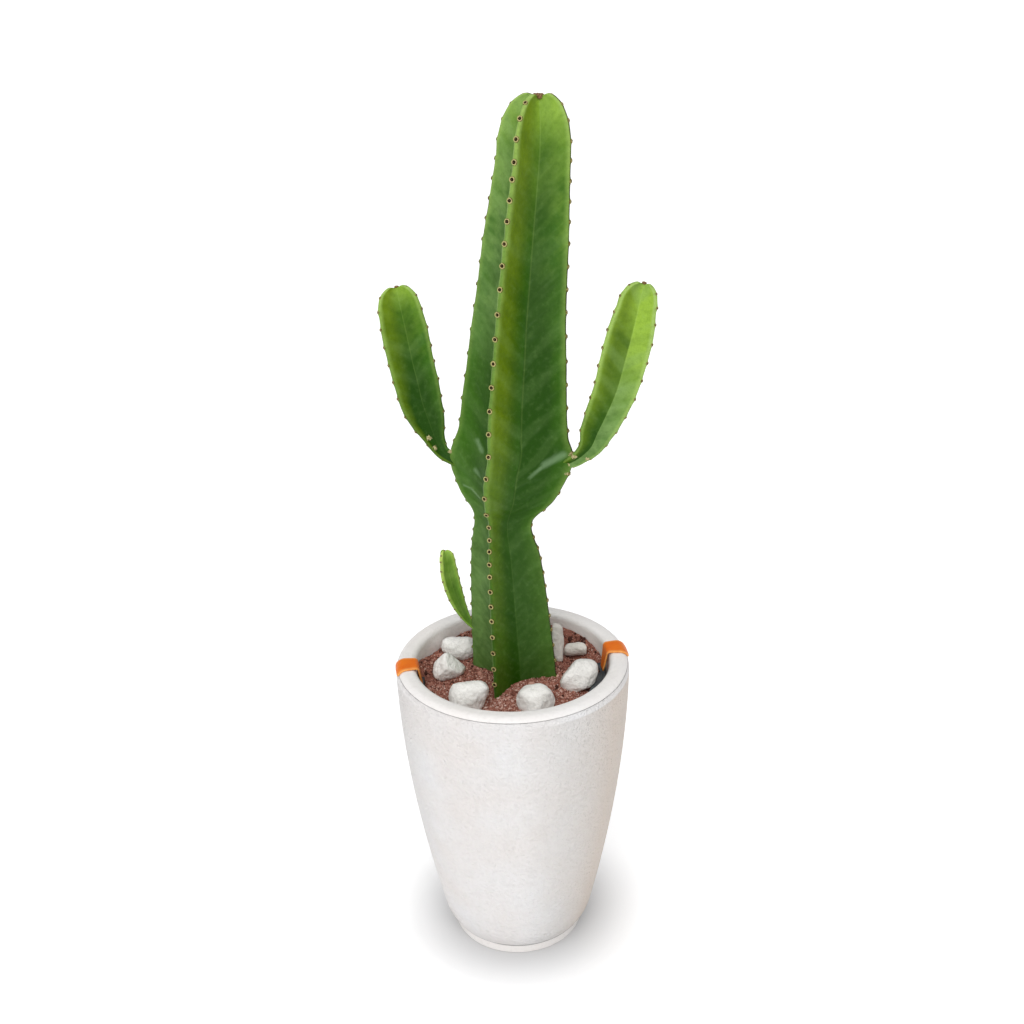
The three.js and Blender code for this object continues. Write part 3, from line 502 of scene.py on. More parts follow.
def foot_profile():
    edge = 2
    top_edge = 1
    step = 12
    top = BODY_BASE - GAP
    profile = [(0, 0), (FOOT_RADIUS - edge - 2, 0)]
    profile += arc((FOOT_RADIUS - edge, edge), edge, -90, 0, 5)
    profile += [(FOOT_RADIUS, z) for z in (6, 11, FOOT_DARK_FROM - 0.1, FOOT_DARK_FROM + 0.1)]
    profile += arc((FOOT_RADIUS - top_edge, FOOT_HEIGHT - top_edge), top_edge, 0, 90, 4)
    return profile + [(FOOT_RADIUS - step, FOOT_HEIGHT), (FOOT_RADIUS - step, top), (0, top)]


foot_points, foot_faces = turned(foot_profile())
# painted light all over the foot, and painted shade at its top, in the joint
masks = {
    "clean": np.ones(len(foot_points)),
    "grime": (foot_points[:, 2] > FOOT_DARK_FROM) * in_shade(azimuth_of(*foot_points[:, :2].T)),
}
add_piece("planter_foot", foot_points, foot_faces, plastic, "foot_disc", "white_shell", masks)

# %% [markdown]
# ## The liner
#
# The soil stands in a dark slate tub that lifts out of the planter. Only part of its rolled rim shows,
# between the soil and the white wall, but the whole tub is there. It is turned like the planter. At
# the front right a narrow dark shelf reaches in from the rim, beside the right strap. It is a short
# stretch of a ring, so its section is carried round the axis from one end to the other.

# %% Sizes of the liner
LINER_TOP = 381
LINER_RIM_OUTER = 121
LINER_RIM_INNER = 115
LINER_WALL = 2.5
LINER_RIM_THICKNESS = 4
LINER_CLEARANCE = 4
LINER_FLOOR_Z = 80
SHELF_INNER = 104
SHELF_HALF_THICKNESS = 1.6
SHELF_MIDDLE = LINER_TOP + 0.4
SHELF_ENDS = (92, 56)


# %% Slate plastic
def slate_plastic():
    finish = Finish("slate", Specular_IOR_Level=0.35)
    scuff = finish.grain(9, detail=4).ramp((0.3, paint(52, 58, 62)), (0.7, paint(84, 90, 93)))
    finish.relief(finish.grain(1.5), 0.25)
    return finish.feed(Base_Color=scuff, Roughness=finish.grain(6).ease(0.2, 0.8) * 0.2 + 0.45)


def liner_radius(z):
    return min(inner_radius(z) - LINER_CLEARANCE - LINER_WALL, LINER_RIM_INNER)


def liner_profile():
    outer_edge = 1.4
    inner_edge = 1
    under_rim = LINER_TOP - LINER_RIM_THICKNESS
    heights = np.linspace(LINER_FLOOR_Z + LINER_WALL, under_rim, 40)
    profile = [(0, LINER_FLOOR_Z), (liner_radius(heights[0]) - 1, LINER_FLOOR_Z)]
    profile += [(liner_radius(z) + LINER_WALL, z) for z in heights[:-1]]
    profile += [(LINER_RIM_OUTER - 3, under_rim), (LINER_RIM_OUTER - 1, under_rim)]
    profile += arc((LINER_RIM_OUTER - outer_edge, LINER_TOP - outer_edge), outer_edge, 0, 90, 6)
    profile += arc((LINER_RIM_INNER + inner_edge, LINER_TOP - inner_edge), inner_edge, 90, 180, 5)
    profile += [(liner_radius(z), z) for z in heights[::-1]]
    return profile + [(0, LINER_FLOOR_Z + LINER_WALL)]


slate = slate_plastic()
add_piece("liner_tub", *turned(liner_profile()), slate, "liner", "slate")


# %% Shelf inside the rim, beside the right strap
def shelf_section():
    """Outline of the shelf, as distances from the axis and heights: a slab with a rounded inner edge."""
    outer = LINER_RIM_INNER + 0.5
    half = SHELF_HALF_THICKNESS
    nose = arc((SHELF_INNER + half, SHELF_MIDDLE), half, 90, 270, 8)
    return [(outer, SHELF_MIDDLE - half), (outer, SHELF_MIDDLE + half)] + nose


def shelf(steps=60):
    distance, height = np.array(shelf_section()).T
    x, y = off_axis(distance[None], np.linspace(*SHELF_ENDS, steps)[:, None])
    rows = np.stack([x, y, np.tile(height, (steps, 1))], -1)
    points = np.vstack([rows.reshape(-1, 3), rows[[0, -1]].mean(axis=1)])
    add_piece("liner_shelf", points, skin_faces(steps, len(height)), slate, "liner", "slate")


shelf()

# %% [markdown]
# ## The lifting straps
#
# Two orange straps hook over the rim on opposite sides, wide on top and narrowing down the inside to
# the liner. Each is a flat band bent along one line. A rounded cross-section is carried along that
# line, so the edges catch the light, and the band also bends round the circle of the rim.

# %% Sizes of the straps
STRAP_WIDTH = 33
STRAP_THICKNESS = 2.4
STRAP_FOOT_WIDTH = 16
STRAP_FOOT_INSET = 3
STRAP_WRAP_END = 30
STRAP_BEND = 3
STRAP_BEND_END = 175
STRAP_AZIMUTHS = {"left": -83, "right": 97}


# %% Orange plastic with a painted highlight on its edges
def orange_plastic():
    finish = Finish("orange", Specular_IOR_Level=0.3)
    body = finish.grain(14).ramp((0.3, paint(230, 106, 6)), (0.7, paint(238, 122, 14)))
    # painted highlight along the edges of the band
    painted_edge_highlight = finish.mask("edge").ease(0.6, 1) * (finish.grain(4).ease(0.2, 0.6) * 0.5 + 0.35)
    colour = finish.blend(painted_edge_highlight, body, paint(248, 176, 96))
    finish.relief(finish.grain(1.6), 0.12)
    return finish.feed(Base_Color=colour, Roughness=finish.grain(5).ease(0.2, 0.8) * 0.15 + 0.3)


orange = orange_plastic()


# %% The band's middle line, from the outside of the rim to the liner
def strap_line():
    """Points (distance from the axis, height) along the middle of the band's thickness."""
    half = STRAP_THICKNESS / 2
    over = arc(RIM_ROUND_CENTRE, RIM_EDGE_RADIUS + GAP + half, STRAP_WRAP_END, 90, 14)
    bend_centre = (RIM_RADIUS - RIM_WIDTH - GAP + 2, POT_HEIGHT - STRAP_BEND)
    inner = arc(bend_centre, STRAP_BEND + GAP + half, 90, STRAP_BEND_END, 8)
    foot = (LINER_RIM_INNER + STRAP_FOOT_INSET, LINER_TOP + GAP + half)
    leg = [tuple(np.array(inner[-1]) * (1 - s) + np.array(foot) * s) for s in np.linspace(0.12, 1, 12)]
    return np.array(over + inner + leg)


def rounded_section(steps=28):
    """The outline of the band across its width: flat faces and round edges, as unit shares."""
    angles = np.arange(steps) * TURN / steps
    squareness = 0.35
    across = np.sign(np.cos(angles)) * np.abs(np.cos(angles)) ** squareness
    through = np.sign(np.sin(angles)) * np.abs(np.sin(angles)) ** squareness
    return across, through


# %% Sweep the band and bend it round the rim
def strap(side):
    line = strap_line()
    step = np.gradient(line, axis=0)
    normal = np.stack([-step[:, 1], step[:, 0]], -1)
    normal /= np.linalg.norm(normal, axis=1)[:, None]
    across, through = rounded_section()
    drop = np.clip((POT_HEIGHT - line[:, 1]) / (POT_HEIGHT - LINER_TOP), 0, 1)
    on_leg = line[:, 0] < RIM_RADIUS - RIM_WIDTH
    width = np.where(on_leg, STRAP_WIDTH + (STRAP_FOOT_WIDTH - STRAP_WIDTH) * drop, STRAP_WIDTH)
    spot = line[:, None] + normal[:, None] * through[None, :, None] * STRAP_THICKNESS / 2
    azimuth = math.radians(STRAP_AZIMUTHS[side])
    turn = azimuth + across[None] * width[:, None] / 2 / RIM_RADIUS
    rows = np.stack([spot[..., 0] * np.sin(turn), -spot[..., 0] * np.cos(turn), spot[..., 1]], -1)
    ends = rows[[0, -1]].mean(axis=1)
    points = np.vstack([rows.reshape(-1, 3), ends])
    edge = np.tile(np.abs(across), len(line))
    masks = {"edge": np.concatenate([edge, [1, 1]])}
    faces = skin_faces(len(line), len(across))
    print(f"strap {side}: {np.linalg.norm(np.diff(line, axis=0), axis=1).sum():.0f} mm long")
    add_piece(f"strap_{side}", points, faces, orange, f"hook_{side}", "orange", masks)


for side in STRAP_AZIMUTHS:
    strap(side)

# %% [markdown]
# ## Ribbed stems
#
# The trunk, the arms and the shoot are all the same kind of stem: thin ribs round a core, with woolly
# cushions in a row along each rib's edge. A stem is a stack of outlines. Each rib gives six corners:
# its crest, shoulder and flank, the valley, and the next rib's flank and shoulder. A smooth curve
# through the corners is a good section, and hundreds of sections make the skin. Sculpting by hand
# would look as good from one side, but a formula keeps all the ribs alike and the sizes true.

# %% Values between stations
def along_stations(places, values, at):
    """A smooth value between stations: cubic, with each slope taken from the neighbours."""
    places = np.asarray(places, float)
    values = np.asarray(values, float)
    last = len(places) - 1
    at = np.clip(at, places[0], places[-1])
    low = np.clip(np.searchsorted(places, at, side="left") - 1, 0, last - 1)
    before = np.maximum(np.arange(last + 1) - 1, 0)
    after = np.minimum(np.arange(last + 1) + 1, last)
    slope = (values[after] - values[before]) / (places[after] - places[before])
    span = places[low + 1] - places[low]
    t = (at - places[low]) / span
    rise = t * t * (3 - 2 * t)
    pull = t * (1 - t) ** 2 * span * slope[low] + t * t * (t - 1) * span * slope[low + 1]
    return values[low] * (1 - rise) + values[low + 1] * rise + pull


def column(table, index):
    return [row[index] for row in table]


# %% Shape of a section
CREST_HALF_WIDTH = 2.6
CREST_SHARE = 0.22
SHOULDER_DROP = 0.7
FLANK_HOLLOW = 0.05
CORNER_LIFT = (1, 0.95, 0.5, 0, 0.5, 0.95)
CORNER_RISE = (1, 0.86, 0.43, 0, 0.43, 0.86)
STEPS_BETWEEN = (3, 11, 11, 11, 11, 3)
CORNERS = len(STEPS_BETWEEN)


def section_corners(ribs, reach, valley, lift, lift_shares):
    """Corners of every section, as (sections, corners, 3): two across the stem and one of lift."""
    count = len(ribs)
    corners = []
    for k in range(count):
        following = (k + 1) % count
        next_azimuth = ribs[following] + (360 if following == 0 else 0)
        half = math.radians(next_azimuth - ribs[k]) / 2
        mine, theirs = reach[:, k], reach[:, following]
        edges = [np.minimum(CREST_HALF_WIDTH, r * CREST_SHARE) for r in (mine, theirs)]
        floor_at = valley[:, k]

        def flank(r, edge):
            x = (r + floor_at * math.cos(half)) / 2
            y = (edge + floor_at * math.sin(half)) / 2 - FLANK_HOLLOW * r
            return x, y

        local = [
            (ribs[k], 1, (mine, 0 * mine)),
            (ribs[k], 1, (mine - edges[0] * SHOULDER_DROP, edges[0])),
            (ribs[k], 1, flank(mine, edges[0])),
            (ribs[k], 1, (floor_at * math.cos(half), floor_at * math.sin(half))),
            (next_azimuth, -1, flank(theirs, edges[1])),
            (next_azimuth, -1, (theirs - edges[1] * SHOULDER_DROP, edges[1])),
        ]
        for (azimuth, hand, (x, y)), share in zip(local, CORNER_LIFT):
            angle = math.radians(azimuth)
            cos, sin = math.cos(angle), math.sin(angle)
            own = lift_shares[k if hand == 1 else following]
            corners.append((x * cos - y * hand * sin, x * sin + y * hand * cos, lift * share * own))
    return np.array(corners).transpose(2, 0, 1)


# %% Smooth curve through the corners
def smooth_sections(corners):
    """Every section as a closed cubic through its corners, with the spacing of its slopes fitted."""
    before = np.roll(corners, 1, axis=1)
    after = np.roll(corners, -1, axis=1)
    span = np.linalg.norm(after - corners, axis=2, keepdims=True)
    slope = (after - before) / (span + np.roll(span, 1, axis=1))
    pieces = []
    for i in range(corners.shape[1]):
        j = (i + 1) % corners.shape[1]
        steps = STEPS_BETWEEN[i % CORNERS]
        for t in np.arange(steps) / steps:
            rise = t * t * (3 - 2 * t)
            start = corners[:, i] * (1 - rise) + slope[:, i] * span[:, i] * t * (1 - t) ** 2
            end = corners[:, j] * rise + slope[:, j] * span[:, i] * t * t * (t - 1)
            pieces.append(start + end)
    return np.stack(pieces, axis=1)


def round_the_section(rib_count):
    """For every point of a section: its rib, its rise from valley to crest, and its side of the rib."""
    rib, rise, side = [], [], []
    for k in range(rib_count):
        for i, steps in enumerate(STEPS_BETWEEN):
            for t in np.arange(steps) / steps:
                before_valley = i < CORNERS // 2
                rib.append(k if before_valley else (k + 1) % rib_count)
                rise.append(CORNER_RISE[i] * (1 - t) + CORNER_RISE[(i + 1) % CORNERS] * t)
                side.append(1 if before_valley else -1)
    return np.array(rib), np.array(rise), np.array(side)


# %% [markdown]
# ### The crown
#
# Towards the tip the ribs close in over the growing point. The reach falls off a little more slowly
# than in an ellipse, which gives a blunt crown; the crests arch up and then dip into the middle, and
# the valleys run up to meet them.

# %% Crown of a stem
CROWN_SECTIONS = 44
CROWN_ROUNDING = 0.7
APEX_DIP = 6
APEX_DIP_RADIUS = 14
CROWN_YOUTH = 0.4


def add_crown(stem, height, lift, lean, dip_share, steps):
    """Goes on from the last section of a stem to its tip. Cushions count the model's own steps."""
    share = np.arange(1, CROWN_SECTIONS) / CROWN_SECTIONS
    angle = share * math.pi / 2
    around = np.cos(angle)[:, None]
    last = {key: stem[key][-1] for key in ("centre", "quarter", "along", "reach", "count")}
    reach = last["reach"][None] * around**CROWN_ROUNDING
    dip = APEX_DIP * dip_share * np.maximum(0, 1 - reach[:, 0] / (APEX_DIP_RADIUS * dip_share))
    up = last["along"][None] * height * np.sin(angle)[:, None]
    centre = last["centre"][None] + up + np.array(lean)[None] * share[:, None]
    between_ribs = (reach + np.roll(reach, -1, axis=1)) / 2
    valley = between_ribs * stem["valley_share"] * around ** (1 - CROWN_ROUNDING)
    grown = {
        "centre": centre,
        "quarter": np.repeat(last["quarter"][None], len(share), 0),
        "along": np.repeat(last["along"][None], len(share), 0),
        "reach": reach,
        "valley": valley,
        "lift": lift * np.sin(angle) - dip,
        "count": last["count"] + share * steps,
        "youth": share * CROWN_YOUTH + stem["youth"][-1],
        "crown": share,
        "part": share + stem["part"][-1],
    }
    for key, value in grown.items():
        stem[key] = np.concatenate([stem[key], value])
    stem["tip"] = last["centre"] + last["along"] * height + np.array(lean)


# %% [markdown]
# ### Relief on the skin
#
# Three things keep the ribs from looking machined. Each cushion sits on a small mound. From the crests
# folds run down and in to the valleys, uneven and strongest where the stem swelled out after its waist.
# And the whole skin is slightly uneven. All three are heights along the skin's own normal. The folds
# are a noise that is stretched along a slant, worked out in the skin's own distances: along the stem
# and away from the crest.

# %% Relief
CUSHION_EVERY = 3  # sections of the construction model from one cushion to the next
MOUND_HEIGHT = 0.9
MOUND_WIDTH = 3.2
FOLD_PITCH = 15
FOLD_LENGTH = 62
FLANKS_APART = 7.3


def cushion_phase(count, rib):
    """How far along a rib each point is from one cushion to the next, from 0 to 1."""
    shift = np.where(rib % 2 == 0, 0, CUSHION_EVERY // 2)
    return ((count + shift) / CUSHION_EVERY) % 1


def skin_normals(rows):
    around = np.roll(rows, -1, axis=1) - np.roll(rows, 1, axis=1)
    up = np.gradient(rows, axis=0)
    normal = np.cross(around, up)
    return normal / np.maximum(np.linalg.norm(normal, axis=2, keepdims=True), 1e-9)


def unevenness(rows):
    """Heights made of a few crossing waves, 4 to 26 centimetres long."""
    x, y, z = rows[..., 0], rows[..., 1], rows[..., 2]
    broad = np.sin(z / 23 + x / 17) + np.sin(z / 41 - y / 19 + 1.3)
    close = np.sin(z / 9.1 + x / 6.3 + 0.7) * np.sin(y / 7.7 - z / 13)
    return 0.28 * broad + 0.16 * close


def slanting_noise(across_folds, along_folds, flank):
    """Noise from -1 to 1 in the skin's own distances, different on each flank."""
    shift = np.broadcast_to(flank * FLANKS_APART, across_folds.shape)
    spots = np.stack([across_folds, along_folds, shift], -1)
    values = [noise.noise(Vector(spot)) for spot in spots.reshape(-1, 3)]
    return np.array(values).reshape(across_folds.shape)


def add_relief(rows, stem, rib, rise, side):
    """Moves a skin's points out along its normals. Returns the folds and the slant's two distances."""
    normal = skin_normals(rows)
    count = stem["count"][:, None]
    spacing = np.gradient(stem["distance"]) / np.maximum(np.gradient(stem["count"]), 1e-6)
    pitch = (spacing * CUSHION_EVERY)[:, None]
    crest = rows[:, np.arange(len(stem["ribs"])) * sum(STEPS_BETWEEN)]
    from_crest = np.linalg.norm(rows - crest[:, rib], axis=2)
    off = (cushion_phase(count, rib[None]) + 0.5) % 1 - 0.5
    size = np.maximum(rising(stem["reach"][:, 0], 6, 18), 0.25)[:, None]
    mound = np.exp(-((off * pitch / MOUND_WIDTH) ** 2) - (from_crest / MOUND_WIDTH) ** 2)
    mound = mound * (1 - 0.8 * stem["crown"][:, None])
    across_folds = (stem["distance"][:, None] + from_crest * stem["slant"]) / FOLD_PITCH
    along_folds = from_crest / FOLD_LENGTH
    fold = slanting_noise(across_folds, along_folds, rib + 0.5 * side)
    window = np.sin(math.pi * np.clip(rise, 0, 1)) ** 0.8
    height = mound * MOUND_HEIGHT * size + fold * window * stem["fold"][:, None]
    height = height + unevenness(rows) * size * window[None] ** 0.5
    return rows + normal * height[..., None], fold, across_folds, along_folds


# %% [markdown]
# ### Putting a stem together
#
# The finish needs to know more than where a point is: how old the flesh is there, how far up the rib
# it lies, which flank it is on, where the folds run, and where the skin has turned to cork or was
# rubbed. The mesh carries these as named numbers at its points.

# %% Cork and rubbed places, as points on the skin
SCARS = {  # a point of the skin and how far round it the cork reaches
    "trunk": [((76, -19, 697), 7), ((74, -19, 686), 5.5), ((70, -19, 673), 5), ((-69.5, 34.5, 684), 6)],
    "arm_left": [((-70.7, 35, 683), 5), ((-89, 38, 688), 6), ((-96, 38, 701), 6.5)],
    "arm_right": [((79, -25, 697), 7), ((94, -30, 695), 5)],
    "shoot": [((-50, 30, 440), 8)],
}
PAINTED_GLINTS = {  # two ends of a painted glint line on the skin and its half width
    "trunk": [
        ((26, -16, 668), (46, -17, 685), 4),
        ((44, -17, 684), (67, -19, 697), 7),
        ((-36, 13, 705), (-30, 8, 694), 6),
        ((-40, 11, 668), (-31, 8, 660), 5),
        ((-55, 24, 643), (-44, 17, 641), 2.6),
        ((-45, 17, 641), (-35, 10, 631), 2.6),
    ],
}


def cork_mask(points, scars):
    reach = [1 - np.linalg.norm(points - np.array(at), axis=-1) / size for at, size in scars]
    return np.clip(np.max(reach, axis=0), 0, 1)


def glint_mask(points, scuffs):
    """1 along the middle of every painted glint line and 0 beyond its half width."""
    found = np.zeros(points.shape[:-1])
    for start, end, half_width in scuffs:
        start, along = np.array(start), np.subtract(end, start)
        share = np.clip((points - start) @ along / (along @ along), 0, 1)
        away = np.linalg.norm(points - start - share[..., None] * along, axis=-1)
        found = np.maximum(found, 1 - away / half_width)
    return np.clip(found, 0, 1)


# %% Tone of each flank
def tone_mask(stem, tone, rib, side):
    """A tone's share on the flank after each rib and on the one before it, times its rise and fall."""
    after, before, places, strengths = stem["tones"][tone]
    share = np.where(side > 0, np.array(after)[rib], np.array(before)[rib])
    return share[None] * np.interp(stem["part"], places, strengths)[:, None]


# %% Stem skin
def stem_piece(name, stem, finish, stands_for, slot, dark_edge_ribs):
    """Builds the skin, keeps what the cushions need, and adds the piece."""
    ribs = stem["ribs"]
    rib, rise, side = round_the_section(len(ribs))
    corners = section_corners(ribs, stem["reach"], stem["valley"], stem["lift"], stem["lift_shares"])
    flat = smooth_sections(corners)
    centre, quarter, along = (stem[key][:, None] for key in ("centre", "quarter", "along"))
    rows = centre + flat[..., :1] * stem["zero"] + flat[..., 1:2] * quarter + flat[..., 2:] * along
    gaps = np.linalg.norm(np.diff(stem["centre"], axis=0), axis=1)
    stem["distance"] = np.concatenate([[0], np.cumsum(gaps)])
    rows, fold, across_folds, along_folds = add_relief(rows, stem, rib, rise, side)
    points = np.vstack([rows.reshape(-1, 3), stem["centre"][:1], [stem["tip"]]])
    size = rows.shape[:2]

    def whole(values, first, last):
        return np.concatenate([np.broadcast_to(values, size).ravel(), [first, last]])

    # painted shade: a dark line along the crests of these ribs
    dark_edge = np.isin(rib, dark_edge_ribs)[None] * (rise > 0.95)
    masks = {
        "youth": whole(stem["youth"][:, None], 0, stem["youth"][-1]),
        "rise": whole(rise, 0, 0.3),
        "fold": whole(fold, 0, 0),
        "across_folds": whole(across_folds, 0, 0),
        "along_folds": whole(along_folds + rib + 0.5 * side, 0, 0),
        "cork": whole(cork_mask(rows, SCARS[name]), 0, 0),
        "scuff": whole(glint_mask(rows, PAINTED_GLINTS.get(name, [])), 0, 0),
        "edge": whole(dark_edge * 1.0, 0, 0),
    }
    for tone in stem["tones"]:
        masks[tone] = whole(tone_mask(stem, tone, rib, side), 0, 0)
    stem["rows"] = rows
    faces = skin_faces(*size)
    print(f"{name}: {size[0]} sections of {size[1]} points over {stem['distance'][-1]:.0f} mm")
    add_piece(f"{name}_skin", points, faces, finish, stands_for, slot, masks)


# %% [markdown]
# ### Living green
#
# Cactus skin is waxy and satin. Old flesh is a dull deep green and the growing end is yellow-green.
# Light and shade are painted on as well: a painted highlight along the edges of the ribs, palest on the
# front rib's edge, and painted shade in the valleys. The flanks differ: one has an olive tint, partly its
# own colour and partly a painted warm light; the next is dark, a painted shade; and a third has kept its
# whitish bloom, partly brightened as painted light. Streaks follow the folds, with painted shade in their
# dips and a painted highlight on their swells where the skin is young. Pale lines are painted glints, and
# dark ones along the other ribs' edges are painted shade where the crest turns away. Cork, beige and
# rough, has formed at the old wounds and where the arms join. Painting an image would need one for each
# stem; masks and noise serve them all.

# %% Marks on the skin: cork, and painted glints and shade
def marked(finish, colour, streak):
    """The colour with its painted glints, painted-shade edges and cork, and where the cork is."""
    # painted glints: pale along the listed lines, broken up by the streaks
    scuff = (finish.mask("scuff") + (streak - 0.5) * 0.8).ease(0, 1)
    colour = finish.blend(scuff * 0.32, colour, paint(160, 192, 148))
    # painted shade: a dark line along the edges of the side and back ribs, where the crest turns away
    line = finish.mask("edge") * (finish.grain(7, seed=9).ease(0.3, 0.5) * 0.5 + 0.5)
    colour = finish.blend(line * 0.9, colour, paint(58, 50, 30))
    cork = (finish.mask("cork") + (finish.grain(2.2, detail=4, seed=2) - 0.5) * 1.1).ease(0.42, 0.6)
    bark = finish.grain(1.6, detail=4).ramp((0.3, paint(134, 118, 72)), (0.7, paint(222, 214, 164)))
    return finish.blend(cork, colour, bark), cork


# %% Flesh finish
def flesh(name, old, middle, young, olive, dusk, bloom, crest):
    finish = Finish(name, Specular_IOR_Level=0.1)
    youth = finish.mask("youth")
    rise = finish.mask("rise")
    fold = finish.mask("fold")
    mottle = finish.grain(24, detail=4)
    fine = finish.grain(1.5, detail=3)
    axes = {"X": finish.mask("across_folds") * 1.8, "Y": finish.mask("along_folds") * 3}
    folded_place = finish.node("ShaderNodeCombineXYZ", {}, axes)
    streak = finish.node("ShaderNodeTexNoise", {}, {"Vector": folded_place, "Scale": 1, "Detail": 3})
    age = youth + (mottle - 0.5) * 0.5 + (streak - 0.5) * 0.2
    colour = age.ramp((0.05, old), (0.45, middle), (0.95, young))
    off_edges = 1 - rise.ease(0.84, 0.98)
    # olive: partly the flank's own tint and partly a painted warm light
    colour = finish.blend(finish.mask("olive") * rise.ease(0, 0.45) * off_edges * 0.9, colour, olive)
    # painted shade: on the dark flanks, in the hollows between the ribs and in the dips of the folds
    painted_valley_shade = (1 - rise.ease(0.1, 0.7)) * 0.95 * (1 - youth * 0.95)
    darker = finish.mask("dusk") * (1 - rise.ease(0.45, 0.9) * 0.75) * 0.9 + painted_valley_shade
    colour = finish.blend(darker + fold.ease(0, -0.5) * 0.16, colour, dusk)
    # the bloom, partly painted light, and a painted highlight on the swells of the folds on young skin
    bloom_and_lit_share = finish.mask("bloom") * (streak.ease(0.2, 0.8) * 0.3 + mottle.ease(0.3, 0.7) * 0.4 + 0.25)
    colour = finish.blend(bloom_and_lit_share + fold.ease(0, 0.5) * youth * 0.22, colour, bloom)
    # pale lines: one deep in the valley, and a painted highlight on the edge
    crease = (1 - rise.ease(0, 0.03)) * youth * 0.25
    colour = finish.blend(crease, colour, crest)
    pale = rise.ease(0.7, 0.92) * (youth * 1.15 - 0.12) * (1 - finish.mask("edge") * 0.5)
    colour = finish.blend(pale, colour, crest)
    # specks, pale and dark
    speck = finish.grain(6, detail=5, seed=3)
    colour = finish.blend(speck.ease(0.5, 0.75) * 0.09, colour, bloom)
    colour = finish.blend((1 - speck.ease(0.3, 0.55)) * 0.16 + fine.ease(0.35, 0.65) * 0.1, colour, dusk)
    colour, cork = marked(finish, colour, streak)
    finish.relief(fine * 0.2 + streak * 0.8 + cork * finish.grain(1.2) * 1.2, 0.8)
    roughness = mottle.ease(0.3, 0.7) * 0.1 + 0.36 + cork * 0.35
    return finish.feed(Base_Color=colour, Roughness=roughness)


green_flesh = flesh(
    "green_flesh",
    old=paint(56, 88, 22),
    middle=paint(56, 104, 10),
    young=paint(148, 184, 62),
    olive=paint(106, 130, 12),
    dusk=paint(33, 71, 3),
    bloom=paint(132, 166, 98),
    crest=paint(160, 192, 98),
)
young_flesh = flesh(
    "young_flesh",
    old=paint(84, 130, 26),
    middle=paint(98, 148, 28),
    young=paint(146, 190, 62),
    olive=paint(92, 132, 8),
    dusk=paint(56, 98, 16),
    bloom=paint(170, 200, 110),
    crest=paint(190, 214, 108),
)

# %% [markdown]
# ### The trunk
#
# The trunk stands a third of its height as a narrow old stem, pinches in at a waist, then swells out
# wide and tapers slowly to the top. The four ribs aren't quite square to each other, and the front and
# back ribs reach less far than the side ones.

# %% Trunk sizes
VALLEY_SHARE = 0.42
TRUNK_RIBS = (-27, 72, 160, 247)
TRUNK_CENTRE_Y = 6
TRUNK_STATIONS = [  # height, reach of the side ribs, reach of the front and back ribs, centre's x
    (300, 50, 48, 2),
    (372, 57, 54, 2),
    (475, 53, 48, -2.4),
    (560, 45.5, 42, -6),
    (590, 38.5, 35, -8.3),
    (605, 38.3, 36, -7.9),
    (616, 45.2, 40, -6.2),
    (632, 59.3, 51, -3.7),
    (650, 68.6, 57, -2.2),
    (670, 76.4, 59.5, -0.2),
    (686, 78.4, 60.3, 3),
    (701, 75.2, 60.8, 5.6),
    (717, 70, 61, 6),
    (757, 66, 61, 8.2),
    (806, 61.5, 59, 12.3),
    (854, 57.5, 57, 16),
    (901, 54, 54.5, 20.8),
    (947, 51.5, 52, 25.3),
    (992, 47.5, 49, 30.3),
    (1040, 43.5, 45, 35.5),
]
CUSHION_START = 373
CUSHION_PITCH = [  # height, distance from one cushion to the next
    (300, 24.4),
    (460, 21.4),
    (545, 18.2),
    (580, 13.5),
    (600, 19.8),
    (650, 25.3),
    (720, 28),
    (850, 28),
    (930, 25),
    (1000, 21.8),
]
TRUNK_CROWN = {"height": 61, "lift": 6, "lean": (7, 0, 0), "dip_share": 1, "steps": 13}
TRUNK_TONES = {  # shares on the flanks after and before the ribs; heights as parts, and strengths
    "olive": ((1, 0.3, 0.7, 0), (0, 0, 0, 0.2), [0.1, 0.3, 0.5, 0.6, 1], [0.15, 0.35, 0.6, 1, 0.9]),
    "dusk": (
        (0, 0.3, 0.1, 0.2), (0.2, 1, 0.4, 0.3),
        [0.1, 0.35, 0.46, 0.54, 0.68, 0.78, 0.9, 1.2], [0.35, 0.45, 0.85, 0.9, 0.9, 0.55, 0.25, 0],
    ),
    "bloom": (
        (0, 0.3, 0.3, 1), (0.8, 0.25, 0.3, 0.3),
        [0.1, 0.23, 0.35, 0.46, 0.57, 0.68, 0.76, 1.2], [0.7, 0.6, 0.5, 0.1, 0, 0.1, 0.55, 0.75],
    ),
}
TRUNK_YOUTH = [(380, 0.05), (590, 0.2), (640, 0.34), (900, 0.42), (1040, 0.62)]
TRUNK_FOLDS = [(380, 0.6), (590, 0.7), (650, 2), (760, 1.5), (1000, 1.5), (1090, 0.6)]
SECTION_STEP = 2


# %% Where the trunk's cushions fall
def trunk_counts(heights):
    """The construction model's section numbers at these heights, which fix the cushions."""
    top = TRUNK_STATIONS[-1][0]
    shortest_step = 3
    marks = [CUSHION_START]
    while marks[-1] < top - shortest_step:
        pitch = along_stations(column(CUSHION_PITCH, 0), column(CUSHION_PITCH, 1), marks[-1])
        marks.append(marks[-1] + float(pitch) / CUSHION_EVERY)
    marks[-1] = top
    return np.interp(heights, marks, np.arange(len(marks)))


